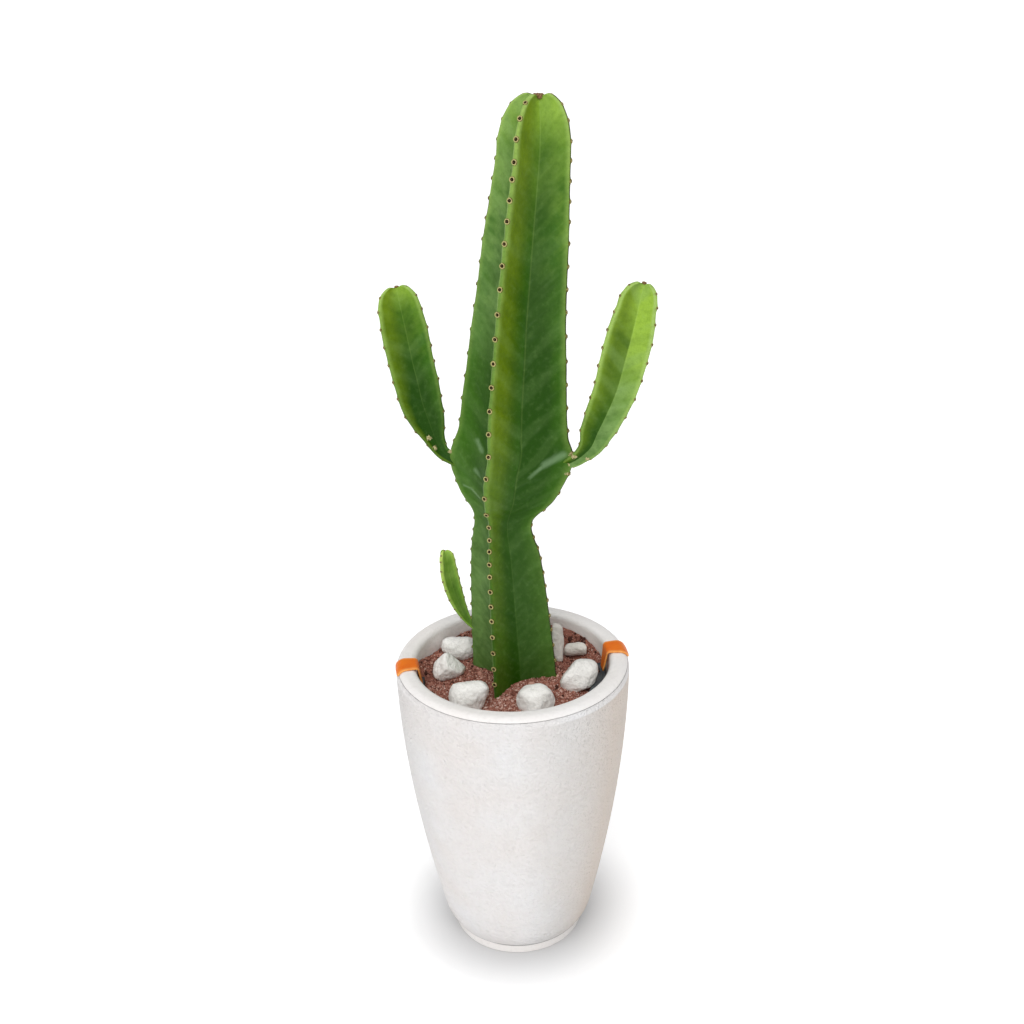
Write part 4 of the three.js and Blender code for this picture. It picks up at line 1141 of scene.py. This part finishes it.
def trunk():
    z = np.arange(TRUNK_STATIONS[0][0], TRUNK_STATIONS[-1][0] + 0.1, SECTION_STEP)
    places = column(TRUNK_STATIONS, 0)
    sides = along_stations(places, column(TRUNK_STATIONS, 1), z)
    fronts = along_stations(places, column(TRUNK_STATIONS, 2), z)
    x = along_stations(places, column(TRUNK_STATIONS, 3), z)
    reach = np.stack([fronts, sides, fronts, sides], -1)
    stem = {
        "ribs": TRUNK_RIBS,
        "tones": TRUNK_TONES,
        "cushion_shares": (1.15, 0.85, 0.8, 0.75),
        "lift_shares": (1, 1, 0.3, 1),
        "zero": np.array([0, -1, 0]),
        "quarter": np.tile([1.0, 0, 0], (len(z), 1)),
        "along": np.tile([0, 0, 1.0], (len(z), 1)),
        "centre": np.stack([x, np.full(len(z), TRUNK_CENTRE_Y), z], -1),
        "reach": reach,
        "valley": (reach + np.roll(reach, -1, axis=1)) / 2 * VALLEY_SHARE,
        "valley_share": VALLEY_SHARE,
        "lift": np.zeros(len(z)),
        "count": trunk_counts(z),
        "youth": np.interp(z, *zip(*TRUNK_YOUTH)),
        "slant": 0.9,
        "crown": np.zeros(len(z)),
        "part": (z - z[0]) / (z[-1] - z[0]),
    }
    add_crown(stem, **TRUNK_CROWN)
    stem["fold"] = np.interp(stem["centre"][:, 2], *zip(*TRUNK_FOLDS))
    return stem


trunk_stem = trunk()
stem_piece("trunk", trunk_stem, green_flesh, "stem_main", "green_flesh", dark_edge_ribs=[1, 2, 3])

# %% [markdown]
# ### Arms and shoot
#
# Each arm leaves a rib of the trunk on a thin neck and curves up, in the upright plane of that rib. The
# small shoot low on the left does the same on three ribs. Their middle lines are short lists of points
# in those planes, with the ribs' reach at each.

# %% Arm and shoot sizes
SHOOT_CENTRE_X = 3.5
SHOOT_VALLEY_SHARE = 0.46
LEFT_RIB = -113
RIGHT_RIB = 72
SHOOT_CROWN_LIFT = 0.08
SHOOT_CROWN_STEPS = 8
SIDE_SHOOTS = {
    "arm_left": {
        "azimuth": LEFT_RIB,
        "viewer_side": LEFT_RIB + 90,
        "ribs": (-34, 87, 207),
        "reach_shares": (1.08, 0.96, 0.96),
        "pitch": 22,
        "crown_share": 0.93,
        "youth": (0.22, 0.6),
        "tones": {
            "olive": ((0.8, 0.3, 0.5), (0.3, 0, 0.3), [0, 1], [1, 1]),
            "dusk": ((1, 0.3, 0.3), (0.5, 0.7, 0.3), [0.1, 0.4, 0.7, 1], [1, 0.8, 0.3, 0]),
            "bloom": ((0, 0.1, 0.3), (0.6, 0.1, 0.1), [0, 1], [0.4, 0.4]),
        },
        "path": [  # distance out from the trunk's axis, height, reach of the ribs
            (66, 666, 4.2),
            (79.5, 674.6, 8.3),
            (91.3, 682.5, 10),
            (99.8, 699, 14.6),
            (107, 721, 23.3),
            (114.6, 745, 28.3),
            (119.5, 770, 29.8),
            (125, 795, 30.2),
            (131.5, 832, 30.8),
            (136, 855, 28.6),
        ],
    },
    "arm_right": {
        "azimuth": RIGHT_RIB,
        "viewer_side": RIGHT_RIB - 90,
        "ribs": (-51, 69, 189),
        "reach_shares": (1.12, 0.92, 0.96),
        "pitch": 22,
        "crown_share": 0.93,
        "youth": (0.5, 1.2),
        "tones": {
            "olive": ((0.6, 0.3, 0.5), (0.3, 0, 0.3), [0, 1], [1, 1]),
            "dusk": ((0.75, 0.3, 0.3), (0.3, 0, 0.3), [0, 0.5, 0.8, 1], [0.35, 0.45, 0.9, 0.5]),
            "bloom": ((0, 0.2, 0.3), (0.3, 1, 0.3), [0, 0.5, 0.75, 1], [1, 0.8, 0.2, 0]),
        },
        "path": [
            (64, 681, 4.2),
            (78.5, 689, 8.9),
            (89.3, 697.5, 10.8),
            (101.3, 711.5, 15.8),
            (109, 730, 21.3),
            (120.2, 755.5, 25.3),
            (131.6, 784.5, 27.8),
            (140.2, 817.5, 29.6),
            (149, 854.5, 29),
            (154.6, 882, 24.8),
        ],
    },
    "shoot": {
        "azimuth": LEFT_RIB,
        "viewer_side": LEFT_RIB + 90,
        "ribs": (-7, 113, 233),
        "reach_shares": (1, 1, 1),
        "pitch": 14,
        "crown_share": 1.15,
        "youth": (0.3, 0.7),
        "tones": {
            "olive": ((0.5, 0.5, 0.5), (0, 0, 0), [0, 1], [1, 1]),
            "dusk": ((0, 0.3, 0.3), (0.3, 0.3, 0.5), [0, 1], [1, 0.5]),
            "bloom": ((0.3, 0, 0.3), (0, 0.3, 0), [0, 1], [1, 1]),
        },
        "path": [
            (50, 437, 4),
            (64, 447, 5.5),
            (74.5, 462, 9),
            (82.5, 479, 12),
            (88, 496, 13.3),
            (92, 514, 13.6),
            (93.5, 531, 12),
        ],
    },
}


# %% A side stem along its curve
def level(azimuth):
    """The level unit vector along an azimuth."""
    return np.array([*off_axis(1, azimuth), 0])


def side_stem(azimuth, viewer_side, ribs, reach_shares, pitch, crown_share, youth, tones, path):
    table = np.array(path, float)
    chords = np.concatenate([[0], np.cumsum(np.hypot(*np.diff(table[:, :2], axis=0).T))])
    fine = np.linspace(0, chords[-1], 400)
    out, z = (along_stations(chords, table[:, i], fine) for i in (0, 1))
    run = np.concatenate([[0], np.cumsum(np.hypot(np.diff(out), np.diff(z)))])
    length = run[-1]
    s = np.linspace(0, length, int(length / SECTION_STEP) + 1)
    out, z = np.interp(s, run, out), np.interp(s, run, z)
    outward = level(azimuth)
    root = np.array([SHOOT_CENTRE_X, TRUNK_CENTRE_Y, 0])
    centre = root + outward * out[:, None] + np.array([0, 0, 1]) * z[:, None]
    along = np.gradient(centre, axis=0)
    along /= np.linalg.norm(along, axis=1)[:, None]
    zero = level(viewer_side)
    each = along_stations(table[:, 1], table[:, 2], z)
    reach = each[:, None] * np.array(reach_shares)
    steps = round(length / pitch * CUSHION_EVERY)
    stem = {
        "ribs": ribs,
        "tones": tones,
        "cushion_shares": (0.8, 0.75, 0.75),
        "lift_shares": (1, 1, 0.3),
        "zero": zero,
        "quarter": np.cross(along, zero),
        "along": along,
        "centre": centre,
        "reach": reach,
        "valley": (reach + np.roll(reach, -1, axis=1)) / 2 * SHOOT_VALLEY_SHARE,
        "valley_share": SHOOT_VALLEY_SHARE,
        "lift": np.zeros(len(s)),
        "count": s / length * steps,
        "youth": np.interp(s / length, [0, 0.35, 1], [youth[0] * 0.7, youth[0], youth[1]]),
        "slant": 0.8,
        "crown": np.zeros(len(s)),
        "part": s / length,
    }
    base = reach[-1, 0]
    dip_share = base / TRUNK_STATIONS[-1][2]
    add_crown(stem, base * crown_share, base * SHOOT_CROWN_LIFT, (0, 0, 0), dip_share, SHOOT_CROWN_STEPS)
    stem["fold"] = np.clip((stem["reach"][:, 0] - 8) / 18, 0, 1.1)
    return stem


stems = {"trunk": trunk_stem}
for name, shape in SIDE_SHOOTS.items():
    stems[name] = side_stem(**shape)
    node = "shoot_basal" if name == "shoot" else name
    own = young_flesh if name == "shoot" else green_flesh
    slot = "young_flesh" if name == "shoot" else "green_flesh"
    stem_piece(name, stems[name], own, node, slot, dark_edge_ribs=[2])

# %% [markdown]
# ## Cushions and spines
#
# Along each rib sit the woolly cushions that carry the spines: a pale raised ring round a dark brown
# middle. There are over two hundred, all alike but for their size, so one small turned shape is copied
# to each place, turned to face out of the skin. Instances would do as well, but one joined mesh per
# stem is easier to hand on. The spines are short thin cones that fan out of each middle.

# %% Copies of a small shape
def scatter(points, faces, places, frames, sizes):
    """One mesh of copies: frames are 3 x 3, one column for each axis of the shape."""
    turned_points = np.einsum("cij,nj->cni", frames, points) * sizes[:, None, None]
    every = (turned_points + places[:, None]).reshape(-1, 3)
    shifts = np.arange(len(places)) * len(points)
    return every, [tuple(i + shift for i in face) for shift in shifts.tolist() for face in faces]


def frames_facing(normals, spin):
    """Frames whose third axis is the given direction, spun about it."""
    aside = np.cross(normals, np.array([0.3, 0.2, 0.93]))
    aside /= np.linalg.norm(aside, axis=1)[:, None]
    other = np.cross(normals, aside)
    cos, sin = np.cos(spin)[:, None], np.sin(spin)[:, None]
    return np.stack([aside * cos + other * sin, other * cos - aside * sin, normals], -1)


# %% Where the cushions sit
CUSHION_RADIUS = 3.1
CUSHION_SUNK = 0.3
NO_CUSHIONS_BELOW = 7
FULL_SIZE_FROM = 40


def cushion_places(stem):
    """Each cushion's place, its direction out of the skin and its size."""
    rows = stem["rows"]
    normal = skin_normals(rows)
    found = []
    for k in range(len(stem["ribs"])):
        shift = 0 if k % 2 == 0 else CUSHION_EVERY // 2
        marks = np.arange(CUSHION_EVERY - shift, stem["count"][-1] - 1, CUSHION_EVERY)
        at = np.interp(marks, stem["count"], np.arange(len(stem["count"])))
        index = np.round(at).astype(int)
        crest = k * sum(STEPS_BETWEEN)
        for i in index[stem["reach"][index, 0] > NO_CUSHIONS_BELOW]:
            size = (0.5 + 0.5 * min(1, stem["reach"][i, 0] / FULL_SIZE_FROM)) * stem["cushion_shares"][k]
            sunk = rows[i, crest] - normal[i, crest] * CUSHION_SUNK
            found.append((sunk, normal[i, crest], size))
    return [np.array(part) for part in zip(*found)]


# %% The cushion's own shape
def cushion_shape(segments=14):
    """Dark middle, groove, pale ring: a small turned body of radius 1, with a mask from middle to rim."""
    outline = [(0.2, 0.2), (0.38, 0.16), (0.5, 0.04), (0.6, 0.2), (0.74, 0.27), (0.88, 0.2), (1, -0.1)]
    profile = [(0, 0.22)] + outline + [(0.8, -0.4), (0, -0.45)]
    points, faces = turned(profile[::-1], segments)
    radius = np.array(profile[::-1])[1:-1, 0]
    mask = np.concatenate([np.repeat(radius, segments), [1, 0]])
    return points, faces, mask


# %% Wool and spine finishes
def wool():
    finish = Finish("cushion_wool", Specular_IOR_Level=0.15, Roughness=0.9)
    ring = finish.mask("radius") + (finish.grain(1.6, detail=3) - 0.5) * 0.4
    brown, dark, cream = paint(92, 68, 32), paint(38, 26, 10), paint(186, 178, 118)
    colour = ring.ramp((0, brown), (0.25, dark), (0.52, dark), (0.62, cream), (0.84, cream), (0.95, brown))
    finish.relief(finish.grain(0.5), 0.2)
    return finish.feed(Base_Color=colour)


def horn():
    finish = Finish("spine_horn", Specular_IOR_Level=0.4)
    shade = finish.grain(1.2).ramp((0.3, paint(58, 42, 26)), (0.7, paint(120, 98, 70)))
    return finish.feed(Base_Color=shade, Roughness=finish.grain(2) * 0.2 + 0.4)


wool_finish = wool()
horn_finish = horn()


# %% Spines
SPINES_EACH = 5
SPINE_LENGTH = 3.2
SPINE_RADIUS = 0.32
SPINE_SPREAD = 0.55


def cone():
    """A three-sided spine of length 1, with its foot a little below its middle line's start."""
    foot = [(math.cos(a), math.sin(a), -0.1) for a in (0, TURN / 3, 2 * TURN / 3)]
    slimness = SPINE_RADIUS / SPINE_LENGTH
    points = np.array(foot + [(0, 0, 1)]) * (slimness, slimness, 1)
    return points, [(2, 1, 0), (0, 1, 3), (1, 2, 3), (2, 0, 3)]


def fan_of_spines(places, normals, sizes, draw):
    """Places, directions and lengths of the spines of all the cushions of one stem."""
    places = np.repeat(places, SPINES_EACH, 0)
    sizes = np.repeat(sizes, SPINES_EACH)
    spread = draw.normal(0, SPINE_SPREAD, (len(places), 3))
    aim = np.repeat(normals, SPINES_EACH, 0) + spread
    aim /= np.linalg.norm(aim, axis=1)[:, None]
    lengths = SPINE_LENGTH * sizes * draw.uniform(0.5, 1.15, len(places))
    return places, aim, lengths


# %% Cover every stem
draw = np.random.default_rng(4)
cushion_points, cushion_faces, cushion_mask = cushion_shape()
cone_points, cone_faces = cone()
for name, stem in stems.items():
    places, normals, sizes = cushion_places(stem)
    print(f"{name}: {len(places)} cushions")
    spin = draw.uniform(0, TURN, len(places))
    radii = sizes * CUSHION_RADIUS
    frames = frames_facing(normals, spin)
    points, faces = scatter(cushion_points, cushion_faces, places, frames, radii)
    masks = {"radius": np.tile(cushion_mask, len(places))}
    add_piece(f"{name}_cushions", points, faces, wool_finish, masks=masks)
    starts, aims, lengths = fan_of_spines(places, normals, sizes, draw)
    frames = frames_facing(aims, draw.uniform(0, TURN, len(aims)))
    points, faces = scatter(cone_points, cone_faces, starts, frames, lengths)
    add_piece(f"{name}_spines", points, faces, horn_finish)

# %% [markdown]
# New cushions crowd together at the growing point and fill the dip between the ribs with brown wool.
# A few small balls, pressed into each other, make that tuft.

# %% A ball of even faces
def ball(subdivisions):
    mesh = bmesh.new()
    bmesh.ops.create_icosphere(mesh, subdivisions=subdivisions, radius=1)
    points = np.array([v.co[:] for v in mesh.verts])
    faces = [tuple(v.index for v in face.verts) for face in mesh.faces]
    mesh.free()
    return points / np.linalg.norm(points, axis=1)[:, None], faces


# %% Wool at the tips
TUFT_BALLS = 9
TUFT_REACH = 0.06
TUFT_TURN = 2.4
TUFT_BALL_SHARE = 0.6
TUFT_RAISED_SHARE = 0.4


def tuft_wool():
    finish = Finish("tuft_wool", Specular_IOR_Level=0.1, Roughness=0.95)
    colour = finish.grain(1.3, detail=4).ramp((0.3, paint(74, 48, 26)), (0.7, paint(168, 132, 96)))
    finish.relief(finish.grain(0.6, detail=3), 0.6)
    return finish.feed(Base_Color=colour)


def tuft(name, stem, finish):
    """Small woolly balls round the tip of a stem."""
    directions, faces = ball(3)
    across = np.stack([stem["zero"], stem["quarter"][-1]])
    reach = stem["reach"].max() * TUFT_REACH
    turns = np.arange(TUFT_BALLS) * TUFT_TURN
    away = reach * np.sqrt(np.arange(TUFT_BALLS) / TUFT_BALLS)
    flat = np.stack([np.cos(turns), np.sin(turns)], -1) * away[:, None]
    places = stem["tip"] + stem["along"][-1] * reach * TUFT_RAISED_SHARE + flat @ across
    frames = np.repeat(np.eye(3)[None], TUFT_BALLS, 0)
    sizes = np.full(TUFT_BALLS, reach * TUFT_BALL_SHARE)
    points, faces = scatter(directions, faces, places, frames, sizes)
    add_piece(f"{name}_tuft", points, faces, finish)


tuft_finish = tuft_wool()
for name, stem in stems.items():
    tuft(name, stem, tuft_finish)

# %% [markdown]
# ## Pebbles
#
# The seven white pebbles are tumbled marble: flat facets whose edges have worn round. Each facet is a
# plane, read off as seen from the front and above, and a soft minimum of the planes makes the worn
# block between them. The planes are the construction model's own. Boxes with bevels would all look
# alike; planes give every pebble its own outline.

# %% Pebble sizes
PEBBLE_SOFTNESS = 10
PEBBLE_VIEW_RISE = 31
PEBBLE_WEAR = 1.1
PEBBLE_WEAR_PITCH = 9
PEBBLES = {  # outline: angle and distance; front and back: angle, lean to the viewer and distance
    "back_left": {
        "at": (-71, 60, 392),
        "outline": [
            (4, 24), (55, 20.5), (89, 14.5), (150, 23.5),
            (180, 25.5), (230, 18), (250, 15.5), (300, 20),
        ],
        "front": [(90, 90, 16), (95, 45, 16), (190, 50, 22), (290, 45, 18), (10, 45, 22)],
        "back": [(90, -90, 15)],
    },
    "left": {
        "at": (-85, 9, 392),
        "outline": [(50, 16), (127, 17), (180, 18.5), (236, 19.5), (290, 15.6), (345, 23)],
        "front": [(90, 90, 18), (155, 45, 15), (35, 40, 14), (285, 40, 14.5)],
        "back": [(90, -90, 15), (90, -45, 18)],
    },
    "front_left": {
        "at": (-56, -60, 391),
        "outline": [(37, 26.5), (95, 18.5), (150, 25.5), (185, 25), (240, 21), (265, 20), (335, 21)],
        "front": [(90, 90, 17), (100, 50, 17), (180, 50, 21), (315, 50, 18)],
        "back": [(90, -90, 15)],
    },
    "front": {
        "at": (28, -71.8, 391),
        "outline": [
            (18, 24), (47, 21.5), (95, 20), (139, 22.4),
            (182, 25), (216, 23.5), (270, 19.5), (338, 24),
        ],
        "front": [(90, 90, 18), (100, 45, 18), (200, 45, 20), (330, 50, 18.5)],
        "back": [(90, -90, 15)],
    },
    "right": {
        "at": (86.2, -20.8, 393),
        "outline": [
            (8, 25), (57, 26), (93, 21.7), (139, 17.3),
            (192, 28), (242, 26.5), (292, 18.3), (333, 20),
        ],
        "front": [(90, 90, 16), (60, 50, 19), (250, 50, 20), (330, 45, 18)],
        "back": [(90, -90, 15)],
    },
    "back_right": {
        "at": (84.4, 54, 389.5),
        "outline": [(10, 15.5), (52, 12.5), (93, 8.2), (135, 13), (180, 15), (272, 8.6), (345, 15)],
        "front": [(90, 90, 9), (90, 45, 8.3), (270, 45, 8.6)],
        "back": [(90, -90, 9)],
    },
    "upright": {
        "at": (60.4, 54, 401),
        "outline": [(356, 8.3), (9, 9.8), (58, 22), (120, 24), (176, 8.3), (201, 12), (275, 26)],
        "front": [(90, 90, 8.5), (0, 45, 8.5), (90, 50, 20)],
        "back": [(90, -90, 8.5)],
    },
}


# %% [markdown]
# White marble is never one white. It is cloudy, with thin grey veins, and a tumbled face is lightly
# pitted. The veins are the places where a wide noise crosses its middle value. The two pebbles at the
# back right are a warmer, duller stone.

# %% Marble
def marble(name, shade, light, grey):
    finish = Finish(name, Specular_IOR_Level=0.45)
    cloud = finish.grain(16, detail=4).ramp((0.3, shade), (0.62, light))
    crossing = finish.grain(14, detail=5, seed=4) - 0.5
    vein = 1 - finish.node("ShaderNodeMath", {"operation": "ABSOLUTE"}, {0: crossing}).ease(0, 0.03)
    colour = finish.blend(vein * 0.2, cloud, grey)
    pits = finish.grain(1.4, detail=3, seed=6).ease(0.3, 0.5)
    finish.relief(finish.grain(5, detail=5) * 1.4 + pits * 0.25, 1.3)
    return finish.feed(Base_Color=colour, Roughness=finish.grain(6).ease(0.2, 0.8) * 0.15 + 0.42)


white_marble = marble("marble", paint(230, 228, 223), paint(250, 248, 244), paint(182, 182, 178))
warm_marble = marble("warm_marble", paint(206, 200, 192), paint(224, 219, 211), paint(178, 172, 164))


# %% Worn blocks
def facet_normal(angle, lean):
    """The direction that a facet faces: its angle round the outline and its lean to the viewer."""
    rise, turn, tip = (math.radians(value) for value in (PEBBLE_VIEW_RISE, angle, lean))
    upward = np.array([0, math.sin(rise), math.cos(rise)])
    to_viewer = np.array([0, -math.cos(rise), math.sin(rise)])
    on_outline = np.array([math.cos(turn), 0, 0]) + upward * math.sin(turn)
    return on_outline * math.cos(tip) + to_viewer * math.sin(tip)


def pebble(name, at, outline, front, back, subdivisions=6):
    directions, faces = ball(subdivisions)
    facets = [(angle, 0, depth) for angle, depth in outline] + front + back
    pressed = 0
    for angle, lean, depth in facets:
        facing = np.maximum(directions @ facet_normal(angle, lean), 0)
        pressed = pressed + (facing / depth) ** PEBBLE_SOFTNESS
    points = directions * (pressed ** (-1 / PEBBLE_SOFTNESS))[:, None]
    spots = points / PEBBLE_WEAR_PITCH + at[0]
    wear = np.array([noise.fractal(Vector(spot), 1, 2, 3) for spot in spots])
    points = points + directions * wear[:, None] * PEBBLE_WEAR + np.array(at)
    print(f"pebble {name}: {' x '.join(f'{side:.0f}' for side in np.ptp(points, axis=0))} mm")
    finish = warm_marble if name in ("back_right", "upright") else white_marble
    add_piece(f"stone_{name}", points, faces, finish, f"pebble_{name}", "marble")


for name, shape in PEBBLES.items():
    pebble(name, **shape)

# %% [markdown]
# ## Soil
#
# The planter is filled with a reddish, gritty mix: fine grains, coarser crumbs and a few clods, with
# more of the coarse, darker ones banked up against the wall at the back. A displaced sheet alone looks
# like cloth, so the sheet is only the ground under thousands of real grains, each a small lump with its
# own turn and tone.

# %% Sizes of the soil
SOIL_EDGE_Z = 377
SOIL_MOUND = 9
SOIL_MOUND_INNER = 40
SOIL_MOUND_OUTER = 110
SOIL_SWELLS = [  # x, y, reach and rise: a hollow at the front rib, a heap at the right, the shelf's bed
    (-24, -46, 46, -9),
    (58, -8, 38, 4),
    (109, -12, 26, -11),
]
SOIL_WALL = LINER_RIM_INNER - 0.6
SOIL_BOTTOM = 340
BANK_INNER = 98
BANK_OUTER = 124.2
BANK_TOPS = [  # azimuth, height of the bank at the planter's wall
    (105, 383),
    (109, 387),
    (118, 390),
    (130, 394.5),
    (147, 396.5),
    (180, 392),
    (213, 391),
    (230, 384),
    (243, 384),
    (256, 394),
    (263, 396),
    (267, 390),
]


# %% Height of the ground
def ease(x, low, high):
    share = rising(x, low, high)
    return share * share * (3 - 2 * share)


def in_bank(azimuth):
    return (azimuth >= BANK_TOPS[0][0]) & (azimuth <= BANK_TOPS[-1][0])


def ground(radius, azimuth):
    """Height of the soil, without its grains. The azimuth is from 0 to 360."""
    mound = SOIL_EDGE_Z + SOIL_MOUND * (1 - ease(radius, SOIL_MOUND_INNER, SOIL_MOUND_OUTER))
    x, y = off_axis(radius, azimuth)
    for swell_x, swell_y, reach, rise in SOIL_SWELLS:
        distance = np.hypot(x - swell_x, y - swell_y) / reach
        mound = mound + rise * np.maximum(0, 1 - distance**2) ** 2
    top = along_stations(column(BANK_TOPS, 0), column(BANK_TOPS, 1), azimuth)
    banked = in_bank(azimuth) * ease(radius, BANK_INNER, BANK_OUTER)
    return mound * (1 - banked) + top * banked


# %% Soil finish
def soil_finish():
    finish = Finish("red_soil", Specular_IOR_Level=0.2)
    tone = finish.mask("tone") + (finish.grain(1.4, detail=4) - 0.5) * 0.5
    dark, red = paint(70, 40, 32), paint(162, 106, 90)
    pink, pale = paint(204, 160, 146), paint(232, 212, 202)
    colour = tone.ramp((0.05, dark), (0.38, red), (0.7, pink), (1, pale))
    finish.relief(finish.grain(0.8, detail=4), 0.5)
    return finish.feed(Base_Color=colour, Roughness=finish.grain(2) * 0.1 + 0.85)


red_soil = soil_finish()


# %% The ground under the grains
GROUND_SUNK = 1.2
GROUND_LUMP_HEIGHT = 1.1
GROUND_LUMP_PITCH = 7
GROUND_TONE = 0.3


def ground_piece(segments=300, rings=70):
    azimuth = np.arange(segments) * 360 / segments
    reach = np.where(in_bank(azimuth), BANK_OUTER, SOIL_WALL)
    rows = []
    for share in np.linspace(1, 0.08, rings):
        radius = reach * share
        x, y = off_axis(radius, azimuth)
        spots = np.stack([x / GROUND_LUMP_PITCH, y / GROUND_LUMP_PITCH, np.full(segments, 3)], -1)
        lumps = np.array([noise.fractal(Vector(spot), 1, 2, 4) for spot in spots])
        height = ground(radius, azimuth) - GROUND_SUNK + GROUND_LUMP_HEIGHT * lumps
        rows.append(np.stack([x, y, height], -1))
    on_liner = np.minimum(LINER_TOP + GAP, rows[0][:, 2] - 0.5)
    in_liner = np.full(segments, SOIL_WALL)
    bottom = np.full(segments, SOIL_BOTTOM)
    skirt = [(in_liner, bottom), (in_liner, on_liner - 0.2), (reach, on_liner)]
    stack = np.array([np.stack([*off_axis(r, azimuth), z], -1) for r, z in skirt] + rows)
    poles = [(0, 0, SOIL_BOTTOM), (0, 0, SOIL_EDGE_Z + SOIL_MOUND)]
    points = np.vstack([stack.reshape(-1, 3), poles])
    masks = {"tone": np.full(len(points), GROUND_TONE)}
    add_piece("soil_ground", points, skin_faces(len(stack), segments), red_soil, "soil", "red_soil", masks)


ground_piece()


# %% Lumps of grit
LUMP_SHAPES = 7
LUMP_PLANES = 6
LUMP_PLANE_DEPTH = 0.62


def lump_shapes(subdivisions, draw):
    """A few angular lumps: balls cut by random planes and squashed a little."""
    directions, faces = ball(subdivisions)
    shapes = []
    for _ in range(LUMP_SHAPES):
        normals = draw.normal(size=(LUMP_PLANES, 3))
        normals /= np.linalg.norm(normals, axis=1)[:, None]
        facing = np.maximum(directions @ normals.T, LUMP_PLANE_DEPTH)
        cut = np.min(LUMP_PLANE_DEPTH / facing, axis=1)
        shapes.append(directions * cut[:, None] * draw.uniform(0.7, 1.1, 3))
    return shapes, faces


# %% Room that the trunk and the pebbles take
TRUNK_AT_SOIL = (TRUNK_STATIONS[1][3], TRUNK_CENTRE_Y)
SOIL_AT_TRUNK = SOIL_EDGE_Z + 6
GRAIN_INTO_TRUNK = 0.3
UNDER_PEBBLE = 0.85


def from_trunk(x, y):
    """Distance and azimuth from the trunk's axis at the soil."""
    dx, dy = x - TRUNK_AT_SOIL[0], y - TRUNK_AT_SOIL[1]
    return np.hypot(dx, dy), azimuth_of(dx, dy) % 360


def trunk_reach(azimuth):
    """How far the trunk reaches from its axis at the soil, all round."""
    rows = stems["trunk"]["rows"]
    at_soil = rows[np.argmin(np.abs(rows[:, 0, 2] - SOIL_AT_TRUNK))]
    distances, angles = from_trunk(at_soil[:, 0], at_soil[:, 1])
    order = np.argsort(angles)
    return np.interp(azimuth, angles[order], distances[order], period=360)


def clear_of_others(x, y, size):
    """True where a grain lies outside the trunk and isn't under a pebble."""
    distance, azimuth = from_trunk(x, y)
    free = distance > trunk_reach(azimuth) - size * GRAIN_INTO_TRUNK
    for shape in PEBBLES.values():
        pebble_x, pebble_y = shape["at"][:2]
        narrowest = min(distance for _, distance in shape["outline"])
        free &= np.hypot(x - pebble_x, y - pebble_y) > narrowest * UNDER_PEBBLE
    return free


# %% Places and tones of grit
def grit_places(how_many, radii, off_bank, darker, draw):
    """Places, sizes and tones: the coarse grit keeps mostly to the bank and is darker at the back."""
    azimuth = draw.uniform(0, 360, how_many)
    banked = in_bank(azimuth)
    reach = np.where(banked, BANK_OUTER, SOIL_WALL) - radii[1] * 0.6
    radius = np.sqrt(draw.uniform(0.04, 1, how_many)) * reach
    size = draw.uniform(*radii, how_many)
    x, y = off_axis(radius, azimuth)
    keep = clear_of_others(x, y, size)
    if off_bank < 1:
        keep &= banked | (draw.uniform(size=how_many) < off_bank)
    azimuth, radius, size, x, y = (values[keep] for values in (azimuth, radius, size, x, y))
    z = ground(radius, azimuth) - size * draw.uniform(0.1, 0.5, len(size))
    front = ease(-y, -30, 90)
    tones = np.clip(draw.normal(0.4, 0.2, len(size)) + 0.22 * front - darker * (1 - front), 0, 1)
    return np.stack([x, y, z], -1), size, tones


# %% Grains, crumbs and clods
GRIT = {  # off_bank: the share kept outside the bank; darker: by how much at the back
    "grains": {"how_many": 9000, "radii": (0.9, 1.6), "off_bank": 1, "darker": 0, "subdivisions": 1},
    "crumbs": {"how_many": 1500, "radii": (1.7, 3), "off_bank": 0.35, "darker": 0.14, "subdivisions": 2},
    "clods": {"how_many": 120, "radii": (3, 5), "off_bank": 0.35, "darker": 0.2, "subdivisions": 3},
}


def grit(name, draw, subdivisions, **spread):
    places, size, tones = grit_places(draw=draw, **spread)
    shapes, faces = lump_shapes(subdivisions, draw)
    normals = draw.normal(size=(len(size), 3))
    normals /= np.linalg.norm(normals, axis=1)[:, None]
    frames = frames_facing(normals, draw.uniform(0, TURN, len(size)))
    points, all_faces, mask = [], [], []
    start = 0
    for i, shape in enumerate(shapes):
        mine = slice(i, None, len(shapes))
        some, some_faces = scatter(shape, faces, places[mine], frames[mine], size[mine])
        points.append(some)
        all_faces += [tuple(v + start for v in face) for face in some_faces]
        mask.append(np.repeat(tones[mine], len(shape)))
        start += len(some)
    masks = {"tone": np.concatenate(mask)}
    add_piece(f"soil_{name}", np.vstack(points), all_faces, red_soil, None, "red_soil", masks, flat=True)


for name, sort in GRIT.items():
    grit(name, draw, **sort)
